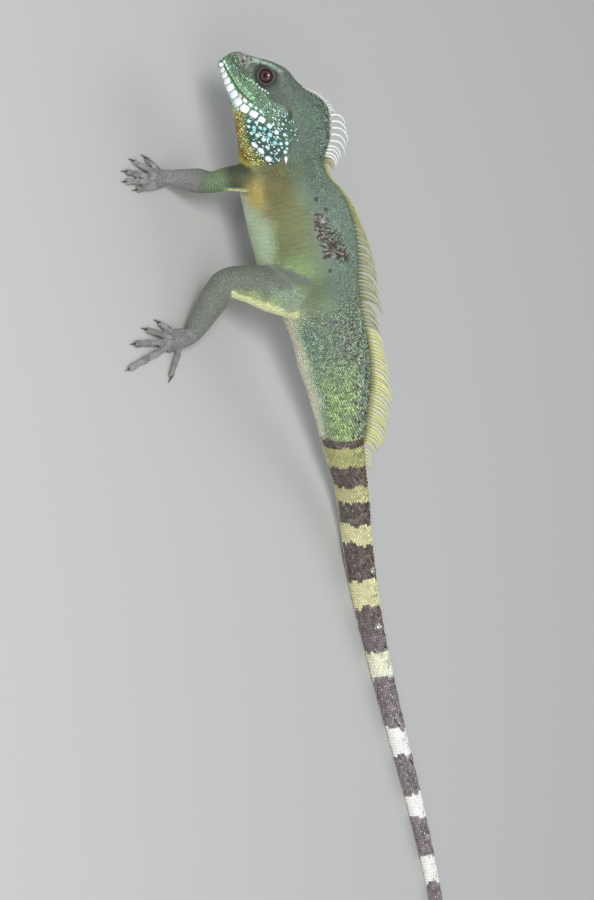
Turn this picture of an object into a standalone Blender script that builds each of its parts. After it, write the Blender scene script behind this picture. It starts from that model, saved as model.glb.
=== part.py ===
"""A life-size water dragon lizard, standing on the floor with its head cocked and its long tail laid behind it.

All sizes below are in millimetres and are turned into metres as each mesh is made. +Z is up, the floor is
z = 0, the lizard faces -X and its left side is towards -Y. At the end everything is moved level with the floor,
so that the origin lies under the middle of the whole lizard.
"""

import math
from collections import namedtuple

import bmesh
import bpy
import numpy as np
from mathutils import Matrix, Vector
from mathutils.bvhtree import BVHTree

MM = 0.001
GAP = 0.3
FLOOR_SINK = 0.45

# The head has its own axes: back from the tip of the snout, left and up.
SNOUT_TIP = (-281.0, -17.0, 47.0)
HEAD_YAW = 15.0
HEAD_PITCH = 23.0
HEAD_ROLL = 28.0
NECK_JOINT_BACK = 73.0

Station = namedtuple("Station", "name x y z top bottom half_width peak roll")

# The trunk and tail, from inside the head to the tip of the tail. x, y, z is the middle of each section, top
# and bottom are how far it reaches up and down from there, peak under 2 draws the top in to a ridge, and roll
# is how far the section leans to the right, in degrees.
STATIONS = [
    Station("occiput", -246.0, -5.5, 67.5, 29.0, 17.0, 14.0, 0.80, 28.0),
    Station("nuchal_lobe", -226.0, -2.0, 73.0, 40.0, 31.0, 21.0, 0.80, 27.0),
    Station("nape", -210.0, 1.0, 75.5, 34.0, 37.0, 20.0, 0.95, 22.0),
    Station("withers", -194.0, 3.0, 76.5, 23.5, 41.0, 21.0, 1.20, 16.0),
    Station("shoulders", -176.0, 5.0, 75.5, 33.5, 41.5, 23.5, 1.30, 12.0),
    Station("chest", -154.0, 8.0, 73.5, 39.5, 40.5, 25.0, 1.35, 10.0),
    Station("belly", -131.0, 12.0, 71.0, 38.0, 38.0, 25.0, 1.35, 10.0),
    Station("loin", -110.0, 17.0, 68.5, 33.5, 32.0, 22.0, 1.40, 10.0),
    Station("hips", -91.0, 23.5, 65.5, 31.0, 27.5, 20.0, 1.45, 10.0),
    Station("vent", -72.0, 31.0, 62.0, 30.5, 26.5, 18.0, 1.50, 9.0),
    Station("tail_root", -54.0, 39.0, 57.0, 28.5, 25.5, 16.5, 1.50, 8.0),
    Station("tail_swell", -38.0, 46.5, 51.5, 25.0, 22.5, 14.5, 1.50, 7.0),
    Station("tail_slope", -19.0, 55.0, 44.0, 20.5, 19.0, 12.5, 1.50, 6.0),
    Station("tail_fall", 0.0, 63.5, 36.0, 16.8, 16.0, 11.0, 1.60, 5.0),
    Station("tail_bend", 30.0, 76.5, 27.5, 14.0, 12.8, 9.5, 1.60, 3.0),
    Station("tail_settle", 60.0, 86.5, 19.0, 12.6, 12.2, 8.8, 1.60, 2.0),
    Station("tail_landing", 100.0, 93.0, 12.0, 11.4, 11.9, 8.2, 1.70, 0.0),
    Station("tail_low", 128.0, 96.0, 10.0, 10.2, 10.45, 7.8, 1.80, 0.0),
    Station("tail_middle", 161.0, 100.0, 8.6, 9.2, 9.05, 7.3, 1.80, 0.0),
    Station("tail_rear", 224.0, 109.0, 6.9, 7.6, 7.35, 6.2, 1.90, 0.0),
    Station("tail_thin", 277.0, 117.5, 6.0, 6.6, 6.45, 5.4, 1.90, 0.0),
    Station("tail_lash", 330.0, 123.5, 5.1, 5.6, 5.55, 4.8, 2.00, 0.0),
    Station("tail_whip", 400.0, 127.0, 3.8, 4.2, 4.25, 3.7, 2.00, 0.0),
    Station("tail_end", 470.0, 124.0, 2.5, 2.7, 2.95, 2.5, 2.00, 0.0),
    Station("tail_tip", 538.0, 113.0, 1.1, 1.0, 1.55, 1.1, 2.00, 0.0),
]

# Where the trunk and tail are parted, as places along STATIONS.
NECK_END = 2.9
TORSO_END = 8.6
TAIL_CUTS = [8.6, 13.0, 16.3, 18.6, 20.7, 24.0]
TAIL_NAMES = ["tail_base", "tail_front", "tail_middle", "tail_rear", "tail_end"]

HeadSection = namedtuple("HeadSection", "back top brow_y brow_z cheek_y cheek_z lip_y lip_z jaw_y jaw_z throat")

# Sections of the head from the snout back: its crown, brow ridge, cheek, lip, jaw edge and throat.
HEAD_SECTIONS = [
    HeadSection(-1.8, 8.0, 2.4, 7.2, 3.4, 5.2, 3.6, 1.4, 2.8, -1.2, -2.2),
    HeadSection(-0.6, 11.2, 4.4, 10.0, 6.0, 6.4, 6.4, 1.6, 5.0, -2.2, -3.2),
    HeadSection(3.4, 15.6, 6.6, 14.2, 8.8, 8.4, 9.4, 1.9, 7.8, -3.4, -4.6),
    HeadSection(9.5, 19.4, 8.4, 18.0, 11.2, 10.6, 12.0, 2.2, 10.4, -5.0, -6.4),
    HeadSection(16.5, 24.0, 10.2, 22.6, 13.2, 12.6, 14.6, 2.2, 13.0, -6.6, -8.6),
    HeadSection(24.5, 28.8, 12.8, 28.4, 14.6, 13.6, 16.8, 2.0, 15.2, -8.6, -11.4),
    HeadSection(32.0, 31.6, 13.8, 30.8, 15.8, 14.2, 18.6, 1.8, 17.4, -11.0, -14.2),
    HeadSection(41.0, 33.4, 13.6, 30.8, 18.0, 15.2, 20.6, 1.2, 20.2, -14.2, -18.4),
    HeadSection(52.0, 35.4, 13.0, 29.2, 19.6, 15.4, 23.2, 0.4, 22.8, -18.0, -24.8),
    HeadSection(63.0, 35.0, 12.4, 27.4, 19.4, 14.6, 23.4, -1.4, 22.4, -21.5, -31.0),
    HeadSection(73.0, 32.0, 10.4, 24.0, 17.8, 12.4, 22.0, -4.0, 20.0, -20.0, -31.0),
    HeadSection(82.0, 24.0, 7.0, 18.0, 15.0, 8.4, 19.0, -5.0, 14.5, -15.0, -22.0),
    HeadSection(90.0, 14.0, 4.0, 10.0, 8.0, 4.0, 10.0, -4.0, 7.0, -9.0, -12.0),
]

EYE_BACK = 29.4
EYE_SIDE = 9.8
EYE_UP = 20.6
EYEBALL = 7.5
LID = 8.8
EYE_OPENING = 5.3
MOUTH_CORNER_BACK = 39.0
MOUTH_UP = 0.8
MOUTH_CORNER_UP = 1.4
SNOUT_ROUND = 11.0
NOSTRIL_BACK = 10.0
NOSTRIL_UP = 13.5
NOSTRIL_RADIUS = 1.3
EAR_BACK = 64.0
EAR_UP = 15.5
EAR_RADIUS = 4.2
EAR_DEPTH = 1.0

Scute = namedtuple("Scute", "back up half_length half_width rise")

# The enlarged plates on each side of the lower jaw, from the chin back, then the round ones on the jowl.
SCUTES = [
    Scute(4.5, -1.0, 2.0, 1.3, 0.5),
    Scute(9.0, -1.8, 2.2, 1.6, 0.6),
    Scute(14.0, -2.4, 2.4, 1.8, 0.7),
    Scute(19.5, -3.2, 2.5, 2.0, 0.8),
    Scute(25.0, -4.2, 2.7, 2.2, 0.9),
    Scute(31.0, -4.8, 2.9, 2.4, 1.0),
    Scute(37.8, -4.6, 3.1, 2.6, 1.1),
    Scute(45.2, -2.6, 3.3, 2.7, 1.2),
    Scute(53.0, -0.4, 3.2, 2.5, 1.2),
    Scute(60.5, 1.6, 2.8, 2.2, 1.1),
    Scute(56.0, -16.5, 2.2, 1.9, 1.0),
    Scute(63.5, -14.6, 2.5, 2.1, 1.1),
    Scute(69.6, -12.6, 2.7, 2.2, 1.2),
]

Knuckle = namedtuple("Knuckle", "x y z radius")

# Each leg runs from inside the trunk through its joints to the wrist or ankle.
FORELEG_LEFT = [
    Knuckle(-190.0, 2.0, 62.0, 12.0),
    Knuckle(-197.0, -20.0, 50.0, 10.0),
    Knuckle(-198.3, -28.0, 41.5, 8.3),
    Knuckle(-198.0, -34.0, 32.0, 7.5),
    Knuckle(-201.0, -38.5, 22.5, 8.6),
    Knuckle(-204.0, -45.0, 14.5, 7.0),
    Knuckle(-206.8, -51.0, 8.5, 5.2),
]
FORELEG_RIGHT = [
    Knuckle(-183.0, 14.0, 66.0, 12.0),
    Knuckle(-186.0, 29.0, 57.0, 10.0),
    Knuckle(-179.0, 42.0, 46.0, 8.4),
    Knuckle(-175.0, 53.0, 36.0, 7.5),
    Knuckle(-183.0, 58.0, 25.5, 8.6),
    Knuckle(-191.0, 62.0, 15.5, 7.0),
    Knuckle(-197.0, 65.0, 8.5, 5.2),
]
HINDLEG_LEFT = [
    Knuckle(-108.0, 6.0, 61.0, 16.5),
    Knuckle(-115.0, -7.0, 50.5, 16.2),
    Knuckle(-123.0, -25.0, 40.0, 13.0),
    Knuckle(-125.0, -38.0, 31.0, 10.2),
    Knuckle(-113.0, -46.0, 22.0, 9.8),
    Knuckle(-102.0, -53.0, 15.0, 8.2),
    Knuckle(-93.0, -59.0, 9.5, 6.4),
]
HINDLEG_RIGHT = [
    Knuckle(-99.0, 28.0, 60.0, 17.0),
    Knuckle(-110.0, 42.0, 55.0, 16.2),
    Knuckle(-129.0, 57.0, 48.0, 13.2),
    Knuckle(-145.0, 69.0, 40.0, 10.4),
    Knuckle(-136.0, 77.0, 31.0, 9.8),
    Knuckle(-121.0, 84.0, 20.0, 8.2),
    Knuckle(-109.0, 90.0, 10.0, 6.4),
]
MIDDLE_JOINT = 3

Digit = namedtuple("Digit", "turn length set_back radius")

# A digit's turn is measured from the foot's own direction towards the first digit, in degrees, and set_back is
# how far behind the end of the sole it starts.
FINGERS = [
    Digit(42.0, 17.0, 7.0, 1.9),
    Digit(25.0, 25.0, 2.0, 1.9),
    Digit(8.0, 31.0, 0.0, 1.9),
    Digit(-1.0, 32.0, 0.0, 1.9),
    Digit(-8.0, 26.0, 4.0, 1.8),
]
TOES = [
    Digit(42.0, 17.0, 8.0, 2.0),
    Digit(25.0, 26.0, 3.0, 2.0),
    Digit(8.0, 37.0, 0.0, 2.1),
    Digit(-10.0, 49.0, 0.0, 2.1),
    Digit(-52.0, 28.0, 12.0, 2.0),
]
Sole = namedtuple("Sole", "length half_width half_height")

HAND = Sole(13.0, 7.2, 3.2)
FOOT = Sole(22.0, 7.6, 3.4)
CLAW = 5.0

SpineRow = namedtuple("SpineRow", "start end count first last")

# Rows of the crest between two places along STATIONS, with the heights of the first and last spine.
NECK_CREST = [
    SpineRow(0.06, 0.86, 9, 1.4, 3.0),
    SpineRow(0.95, 1.14, 3, 3.6, 4.6),
    SpineRow(1.30, 1.52, 2, 11.0, 12.5),
    SpineRow(1.74, 2.18, 3, 16.5, 15.0),
    SpineRow(2.36, 2.62, 3, 11.0, 13.0),
    SpineRow(2.72, 2.82, 2, 7.0, 5.0),
]
BACK_CREST = [
    SpineRow(3.02, 4.00, 8, 6.0, 10.0),
    SpineRow(4.12, 7.50, 26, 10.5, 21.0),
    SpineRow(7.78, 8.44, 5, 13.0, 15.0),
]
TAIL_BASE_CREST = [
    SpineRow(8.72, 10.20, 12, 15.0, 18.5),
    SpineRow(10.33, 12.30, 15, 21.0, 20.0),
    SpineRow(12.43, 12.84, 4, 18.0, 12.0),
]
TAIL_FRONT_CREST = [
    SpineRow(13.20, 13.48, 4, 8.5, 7.0),
    SpineRow(13.70, 16.10, 22, 3.2, 1.6),
]
SPINE_WIDTH = 2.4
SPINE_THICKNESS = 1.3
SPINE_ROOT = 3.0
SPINE_LEAN = 12.0
SPINE_CURL = 28.0

TAIL_LOOKS = {
    "tail_base": (0.22, 0.29, 0.16),
    "tail_front": (0.17, 0.19, 0.12),
    "tail_middle": (0.15, 0.15, 0.11),
    "tail_rear": (0.17, 0.15, 0.12),
    "tail_end": (0.17, 0.15, 0.13),
}

BODY_SIDES = 22
RING_STEP = 8.5
LIMB_SIDES = 12
LIMB_STEP = 0.45
DIGIT_SIDES = 7
RAIL_STEPS = 3
HEAD_RINGS = 21


def smooth(rows, place):
    """A smooth curve through rows, read at a place counted in rows. Each row is a tuple of numbers."""
    last = len(rows) - 1
    i = int(min(max(math.floor(place), 0), last - 1))
    t = place - i
    p1 = np.array(rows[i], float)
    p2 = np.array(rows[i + 1], float)
    p0 = np.array(rows[i - 1], float) if i > 0 else 2 * p1 - p2
    p3 = np.array(rows[i + 2], float) if i + 2 <= last else 2 * p2 - p1
    before = max(np.linalg.norm((p1 - p0)[:3]), 1e-6)
    here = max(np.linalg.norm((p2 - p1)[:3]), 1e-6)
    after = max(np.linalg.norm((p3 - p2)[:3]), 1e-6)
    m1 = ((p1 - p0) / before * here + (p2 - p1) / here * before) / (before + here) * here
    m2 = ((p2 - p1) / here * after + (p3 - p2) / after * here) / (here + after) * here
    h00 = 2 * t**3 - 3 * t**2 + 1
    h10 = t**3 - 2 * t**2 + t
    h01 = -2 * t**3 + 3 * t**2
    h11 = t**3 - t**2
    return h00 * p1 + h10 * m1 + h01 * p2 + h11 * m2


def axes_of(along, roll):
    """Left and up beside a direction that runs backwards, leaning to the right by roll degrees."""
    up = np.array([0.0, 0.0, 1.0]) - along * along[2]
    up /= np.linalg.norm(up)
    left = np.cross(along, up)
    turn = math.radians(roll)
    return math.cos(turn) * left + math.sin(turn) * up, math.cos(turn) * up - math.sin(turn) * left


def body_frame(place):
    """The station's values at a place, with the directions along, left and up."""
    rows = [station[1:] for station in STATIONS]
    here = smooth(rows, place)
    step = 0.02
    along = smooth(rows, place + step)[:3] - smooth(rows, place - step)[:3]
    along /= np.linalg.norm(along)
    left, up = axes_of(along, here[7])
    return here, along, left, up


def body_ring(place, swell=0.0):
    """Points round the trunk or tail, from the ridge down the left side."""
    here, _, left, up = body_frame(place)
    top, bottom, half_width, peak = here[3:7]
    points = []
    for i in range(BODY_SIDES):
        turn = 2 * math.pi * i / BODY_SIDES
        c = math.cos(turn)
        s = math.sin(turn)
        side = math.copysign(abs(s) ** (2 / peak if c > 0 else 0.92), s) * (half_width + swell)
        rise = math.copysign(abs(c) ** (1.0 if c > 0 else 0.95), c) * ((top if c > 0 else bottom) + swell)
        points.append(here[:3] + left * side + up * rise)
    return points


def places_between(start, end, spacing):
    """Evenly spaced places along STATIONS, from start to end."""
    fine = np.linspace(start, end, 400)
    middles = np.array([body_frame(p)[0][:3] for p in fine])
    run = np.concatenate([[0.0], np.cumsum(np.linalg.norm(np.diff(middles, axis=0), axis=1))])
    count = max(2, int(round(run[-1] / spacing)) + 1)
    return np.interp(np.linspace(0, run[-1], count), run, fine)


def place_after(place, distance):
    """The place a distance further along STATIONS."""
    here = body_frame(place)[0][:3]
    rate = np.linalg.norm(body_frame(place + 0.05)[0][:3] - here) / 0.05
    return place + distance / rate


def neck_places():
    return places_between(0.0, place_after(NECK_END, -GAP), RING_STEP)


def torso_places():
    return places_between(NECK_END, place_after(TORSO_END, -GAP), RING_STEP)


def loft(name, rings):
    """A closed mesh object through rings of points. A ring of one point is a tip."""
    points = []
    starts = []
    for ring in rings:
        starts.append(len(points))
        points.extend(ring)
    faces = []
    for first, second, a, b in zip(rings, rings[1:], starts, starts[1:]):
        sides = max(len(first), len(second))
        for i in range(sides):
            j = (i + 1) % sides
            if len(first) == 1:
                faces.append((a, b + j, b + i))
            elif len(second) == 1:
                faces.append((a + i, a + j, b))
            else:
                faces.append((a + i, a + j, b + j, b + i))
    if len(rings[0]) > 1:
        faces.append(tuple(starts[0] + i for i in reversed(range(len(rings[0])))))
    if len(rings[-1]) > 1:
        faces.append(tuple(starts[-1] + i for i in range(len(rings[-1]))))
    return mesh_object(name, points, faces)


def mesh_object(name, points, faces):
    mesh = bpy.data.meshes.new(name)
    mesh.from_pydata([Vector(p) * MM for p in points], [], faces)
    bm = bmesh.new()
    bm.from_mesh(mesh)
    bmesh.ops.triangulate(bm, faces=bm.faces)
    bmesh.ops.recalc_face_normals(bm, faces=bm.faces)
    bm.to_mesh(mesh)
    bm.free()
    obj = bpy.data.objects.new(name, mesh)
    bpy.context.scene.collection.objects.link(obj)
    return obj


def tube(name, knots, sides):
    """A round tube through knots of x, y, z and radius."""
    rings = []
    middles = np.array([k[:3] for k in knots], float)
    along = np.gradient(middles, axis=0)
    for middle, way, knot in zip(middles, along, knots):
        way = way / np.linalg.norm(way)
        level = np.cross(way, (0.0, 0.0, 1.0))
        level /= np.linalg.norm(level)
        upright = np.cross(level, way)
        rings.append(round_ring(middle, level * knot[3], upright * knot[3], sides))
    return loft(name, rings)


def remove(objects):
    for obj in objects:
        bpy.data.objects.remove(obj)


def keep_largest(obj):
    """Drops all but the largest closed surface of a mesh."""
    bm = bmesh.new()
    bm.from_mesh(obj.data)
    islands = []
    seen = set()
    for face in bm.faces:
        if face in seen:
            continue
        island = [face]
        seen.add(face)
        for member in island:
            for edge in member.edges:
                for other in edge.link_faces:
                    if other not in seen:
                        seen.add(other)
                        island.append(other)
        islands.append(island)
    largest = max(islands, key=lambda island: sum(face.calc_area() for face in island))
    for island in islands:
        if island is not largest:
            bmesh.ops.delete(bm, geom=island, context="FACES")
    bm.to_mesh(obj.data)
    bm.free()


def apply_boolean(obj, operation, solver, other=None, group=None):
    modifier = obj.modifiers.new("cut_or_join", "BOOLEAN")
    modifier.operation = operation
    modifier.solver = solver
    if group is None:
        modifier.object = other
    else:
        modifier.operand_type = "COLLECTION"
        modifier.collection = group
    graph = bpy.context.evaluated_depsgraph_get()
    mesh = bpy.data.meshes.new_from_object(obj.evaluated_get(graph))
    obj.modifiers.clear()
    obj.data = mesh


def join(obj, pieces):
    """Fuses closed pieces into obj with one Boolean union on a collection of them."""
    group = bpy.data.collections.new(obj.name + "_pieces")
    bpy.context.scene.collection.children.link(group)
    for piece in pieces:
        bpy.context.scene.collection.objects.unlink(piece)
        group.objects.link(piece)
    bpy.context.view_layer.update()
    apply_boolean(obj, "UNION", "MANIFOLD", group=group)
    remove(pieces)
    bpy.data.collections.remove(group)
    keep_largest(obj)
    return obj


def cut(obj, *cutters):
    """Cuts each closed cutter from obj and removes it."""
    for cutter in cutters:
        bpy.context.view_layer.update()
        apply_boolean(obj, "DIFFERENCE", "MANIFOLD", other=cutter)
    remove(cutters)
    keep_largest(obj)
    return obj


def duplicate(obj, name):
    copy = bpy.data.objects.new(name, obj.data.copy())
    bpy.context.scene.collection.objects.link(copy)
    return copy


def half_space(point, away, name="half_space"):
    """A large block that fills the side of a plane that away points to."""
    size = 700.0
    away = Vector(away).normalized()
    turn = away.to_track_quat("Z", "Y").to_matrix()
    corners = []
    for x, y in ((-1, -1), (1, -1), (1, 1), (-1, 1)):
        corners.append(turn @ Vector((x * size, y * size, 0)) + Vector(point))
    raised = [corner + away * size for corner in corners]
    faces = [(3, 2, 1, 0), (4, 5, 6, 7), (0, 1, 5, 4), (1, 2, 6, 5), (2, 3, 7, 6), (3, 0, 4, 7)]
    return mesh_object(name, [*corners, *raised], faces)


def set_on_floor(obj):
    return cut(obj, half_space((0, 0, 0), (0, 0, -1), "under_floor"))


def spine(root, up, back, height):
    """One tapered spine that leans and curls backwards, with its root sunk in the ridge."""
    side = np.cross(up, back)
    slim = min(1.0, 0.45 + height / 14)
    rings = []
    for level, width in ((-SPINE_ROOT, 1.0), (0.45 * height, 0.8), (height, 0.0)):
        turn = math.radians(SPINE_LEAN + SPINE_CURL * max(level, 0) / height)
        middle = root + up * level * math.cos(turn) + back * level * math.sin(turn)
        if width == 0:
            rings.append([middle])
            continue
        half_width = back * SPINE_WIDTH / 2 * width * slim
        half_thick = side * SPINE_THICKNESS / 2 * width * slim
        rings.append([middle + half_width, middle + half_thick, middle - half_width, middle - half_thick])
    return loft("spine", rings)


def ridge_point(place):
    here, _, _, up = body_frame(place)
    return here[:3] + up * here[3]


def crest(rows):
    """Spines along the ridge."""
    spines = []
    for row in rows:
        for share in np.linspace(0, 1, row.count):
            place = row.start + (row.end - row.start) * share
            height = row.first + (row.last - row.first) * share
            _, along, _, up = body_frame(place)
            spines.append(spine(ridge_point(place), up, along, height))
    return spines


def head_axes():
    yaw = math.radians(HEAD_YAW)
    pitch = math.radians(HEAD_PITCH)
    back = np.array([math.cos(pitch) * math.cos(yaw), math.cos(pitch) * math.sin(yaw), math.sin(pitch)])
    left, up = axes_of(back, HEAD_ROLL)
    return back, left, up


def on_head(back, side, up):
    """A point of the head in the row's axes."""
    b, s, u = head_axes()
    return np.array(SNOUT_TIP) + b * back + s * side + u * up


def head_ring(place):
    """Points round the head at a place along HEAD_SECTIONS, from the crown down the left side."""
    sec = HeadSection(*smooth([(s.back, 0.0, 0.0, *s[1:]) for s in HEAD_SECTIONS], place)[[0, *range(3, 13)]])
    left = [
        (sec.brow_y, sec.brow_z),
        (sec.cheek_y, sec.cheek_z),
        (sec.lip_y, sec.lip_z),
        (sec.jaw_y, sec.jaw_z),
    ]
    rails = [(0.0, sec.top), *left, (0.0, sec.throat), *[(-y, z) for y, z in reversed(left)]]
    count = len(rails)
    points = []
    for i in range(count):
        p0, p1, p2, p3 = (np.array(rails[(i + k) % count]) for k in (-1, 0, 1, 2))
        for step in range(RAIL_STEPS):
            t = step / RAIL_STEPS
            y, z = 0.5 * (
                2 * p1 + (p2 - p0) * t + (2 * p0 - 5 * p1 + 4 * p2 - p3) * t**2 + (3 * p1 - p0 - 3 * p2 + p3) * t**3
            )
            points.append(on_head(sec.back, y, z))
    return points


def head_loft(swell=0.0):
    rings = []
    for place in np.linspace(0, len(HEAD_SECTIONS) - 1, HEAD_RINGS):
        ring = head_ring(place)
        middle = sum(ring) / len(ring)
        rings.append([p + (p - middle) / np.linalg.norm(p - middle) * swell for p in ring])
    return loft("head", rings)


class HeadSkin:
    """The surface of the head, to set scutes and openings on."""

    def __init__(self, head):
        points = [vertex.co / MM for vertex in head.data.vertices]
        self.tree = BVHTree.FromPolygons(points, [tuple(p.vertices) for p in head.data.polygons])

    def touch(self, back, up, side, turn=0.0):
        """The skin met by a line from the head's middle, out to a side and turned towards the snout."""
        from_back, from_left, _ = head_axes()
        lean = math.radians(turn)
        out = from_left * side * math.cos(lean) - from_back * math.sin(lean)
        start = on_head(back, 0, up) + out * 60
        hit = self.tree.ray_cast(Vector(start), Vector(-out))[0]
        return np.array(hit), out


def ball(name, middle, radius, rings=8, sides=14):
    back, left, up = head_axes()
    layers = [[middle + left * radius]]
    for i in range(1, rings):
        tilt = math.pi * i / rings
        layer = []
        for j in range(sides):
            turn = 2 * math.pi * j / sides
            across = back * math.cos(turn) + up * math.sin(turn)
            layer.append(middle + left * radius * math.cos(tilt) + across * radius * math.sin(tilt))
        layers.append(layer)
    layers.append([middle - left * radius])
    return loft(name, layers)


def mouth_groove(skin):
    """A three-sided strip that runs round the snout from corner to corner and cuts the line of the mouth."""
    backs = [MOUTH_CORNER_BACK, 36.0, 31.0, 26.0, 21.0, 16.0]
    stops = [(back, 1, 0.0) for back in backs]
    stops += [(SNOUT_ROUND, 1, turn) for turn in (0.0, 30.0, 55.0, 75.0, 90.0)]
    stops += [(SNOUT_ROUND, -1, turn) for turn in (75.0, 55.0, 30.0, 0.0)]
    stops += [(back, -1, 0.0) for back in reversed(backs)]
    _, _, up = head_axes()
    rings = []
    for i, (back, side, turn) in enumerate(stops):
        height = np.interp(back, [SNOUT_ROUND, MOUTH_CORNER_BACK], [MOUTH_UP, MOUTH_CORNER_UP])
        point, out = skin.touch(back, height, side, turn)
        depth = 0.4 if i in (0, len(stops) - 1) else 1.5
        rings.append([point - out * depth, point + out * 2.5 - up * 1.3, point + out * 2.5 + up * 1.3])
    return loft("mouth_groove", rings)


def make_eyes(head):
    """Lids and sockets on the head, and an eyeball in each."""
    eyes = {}
    lids = []
    sockets = []
    _, left, _ = head_axes()
    for name, side in (("left", 1), ("right", -1)):
        middle = on_head(EYE_BACK, side * EYE_SIDE, EYE_UP)
        lids.append(ball("lid", middle, LID))
        sockets.append(ball("socket", middle, EYEBALL + GAP))
        opening = tube(
            "opening",
            [(*(middle + left * side * reach), EYE_OPENING) for reach in (3.0, 7.0, 12.0)],
            DIGIT_SIDES * 2,
        )
        sockets.append(opening)
        eyes["eye_" + name] = ball("eye_" + name, middle, EYEBALL)
    join(head, lids)
    cut(head, *sockets)
    return eyes


def dome(middle, out, along, half_length, half_width, height):
    """A low scute with six sides, sunk a little in the skin."""
    across = np.cross(out, along)
    rings = []
    for level, share in ((-1.2, 1.0), (0.2, 1.0), (height, 0.55)):
        ring = []
        for i in range(6):
            turn = math.pi * (i + 0.5) / 3
            flat = along * half_length * math.cos(turn) + across * half_width * math.sin(turn)
            ring.append(middle + out * level + flat * share)
        rings.append(ring)
    return loft("scute", rings)


def jaw_scutes(skin):
    scutes = []
    for side in (1, -1):
        for size in SCUTES:
            point, _ = skin.touch(size.back, size.up, side)
            behind, _ = skin.touch(size.back + 1.5, size.up, side)
            above, _ = skin.touch(size.back, size.up + 1.5, side)
            along = (behind - point) / np.linalg.norm(behind - point)
            out = np.cross(above - point, along) * side
            out /= np.linalg.norm(out)
            scutes.append(dome(point, out, along, size.half_length, size.half_width, size.rise))
    return scutes


def head_openings(skin):
    """The mouth line, nostrils and sunken eardrums."""
    openings = [mouth_groove(skin)]
    for side in (1, -1):
        nostril, _ = skin.touch(NOSTRIL_BACK, NOSTRIL_UP, side)
        openings.append(ball("nostril", nostril, NOSTRIL_RADIUS, 4, 8))
        ear, out = skin.touch(EAR_BACK, EAR_UP, side)
        openings.append(ball("ear", ear + out * (EAR_RADIUS - EAR_DEPTH), EAR_RADIUS, 6, 12))
    return openings


def make_front():
    """Head and neck, modelled whole and parted behind the jowls."""
    whole = head_loft()
    join(whole, [loft("neck_loft", [body_ring(p) for p in neck_places()])])
    back, _, _ = head_axes()
    joint = on_head(NECK_JOINT_BACK, 0, 0)
    neck = cut(duplicate(whole, "neck"), half_space(joint + back * GAP, -back))
    head = cut(whole, half_space(joint, back))
    skin = HeadSkin(head)
    eyes = make_eyes(head)
    join(head, jaw_scutes(skin))
    cut(head, *head_openings(skin))
    spines = crest(NECK_CREST)
    behind = [np.dot(np.array(spine.data.vertices[0].co) / MM - joint, back) for spine in spines]
    join(neck, [spine for spine, reach in zip(spines, behind) if reach > 2])
    join(head, [spine for spine, reach in zip(spines, behind) if reach < -2])
    remove([spine for spine, reach in zip(spines, behind) if abs(reach) <= 2])
    return {"head": head, "neck": neck, **eyes}


def make_torso():
    torso = loft("torso", [body_ring(p) for p in torso_places()])
    return {"torso": join(torso, crest(BACK_CREST))}


def make_tail():
    """The tail in lengths, the first two with a crest."""
    nodes = {}
    crests = {"tail_base": crest(TAIL_BASE_CREST), "tail_front": crest(TAIL_FRONT_CREST)}
    for name, start, end in zip(TAIL_NAMES, TAIL_CUTS, TAIL_CUTS[1:]):
        last = name == TAIL_NAMES[-1]
        spacing = RING_STEP if start < 12 else 11.0
        places = places_between(start, end if last else place_after(end, -GAP), spacing)
        length = loft(name, [body_ring(p) for p in places])
        if name in crests:
            join(length, crests[name])
        nodes[name] = set_on_floor(length)
    return nodes


def limb_frame(joints, place):
    """Middle, radius, direction along, level sideways and upright at a place counted in a leg's joints."""
    rows = [tuple(joint) for joint in joints]
    here = smooth(rows, place)
    along = smooth(rows, place + 0.02)[:3] - smooth(rows, place - 0.02)[:3]
    along /= np.linalg.norm(along)
    level = np.cross(along, (0.0, 0.0, 1.0))
    level /= np.linalg.norm(level)
    return here[:3], here[3], along, level, np.cross(level, along)


def limb_loft(name, joints, start, end, swell=0.0):
    """A length of a leg between two places counted in its joints."""
    rings = []
    for place in np.linspace(start, end, 2 + int((end - start) / LIMB_STEP)):
        middle, radius, _, level, upright = limb_frame(joints, place)
        rings.append(round_ring(middle, level * (radius + swell), upright * (radius + swell), LIMB_SIDES))
    return loft(name, rings)


def round_ring(middle, sideways, upright, sides):
    turns = [2 * math.pi * i / sides for i in range(sides)]
    return [middle + sideways * math.cos(turn) + upright * math.sin(turn) for turn in turns]


def digit(name, start, heading, size):
    """One finger or toe with its claw, as a tube that arches and ends in a downward point."""
    way = np.array([math.cos(heading), math.sin(heading), 0.0])
    finger = size.length - CLAW
    r = size.radius
    shape = [
        (-0.25 * finger, r + 1.2, r),
        (0.0, r + 1.4, r),
        (0.3 * finger, r + 1.9, r * 0.92),
        (0.55 * finger, r + 0.8, r * 0.98),
        (0.8 * finger, r - FLOOR_SINK, r * 0.94),
        (finger, r * 0.9 - FLOOR_SINK + 0.2, r * 0.82),
        (finger + CLAW * 0.4, 1.7, 0.85),
        (finger + CLAW, 0.6, 0.3),
    ]
    knots = [(*(start + way * reach)[:2], height, radius) for reach, height, radius in shape]
    return tube(name, knots, DIGIT_SIDES)


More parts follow.
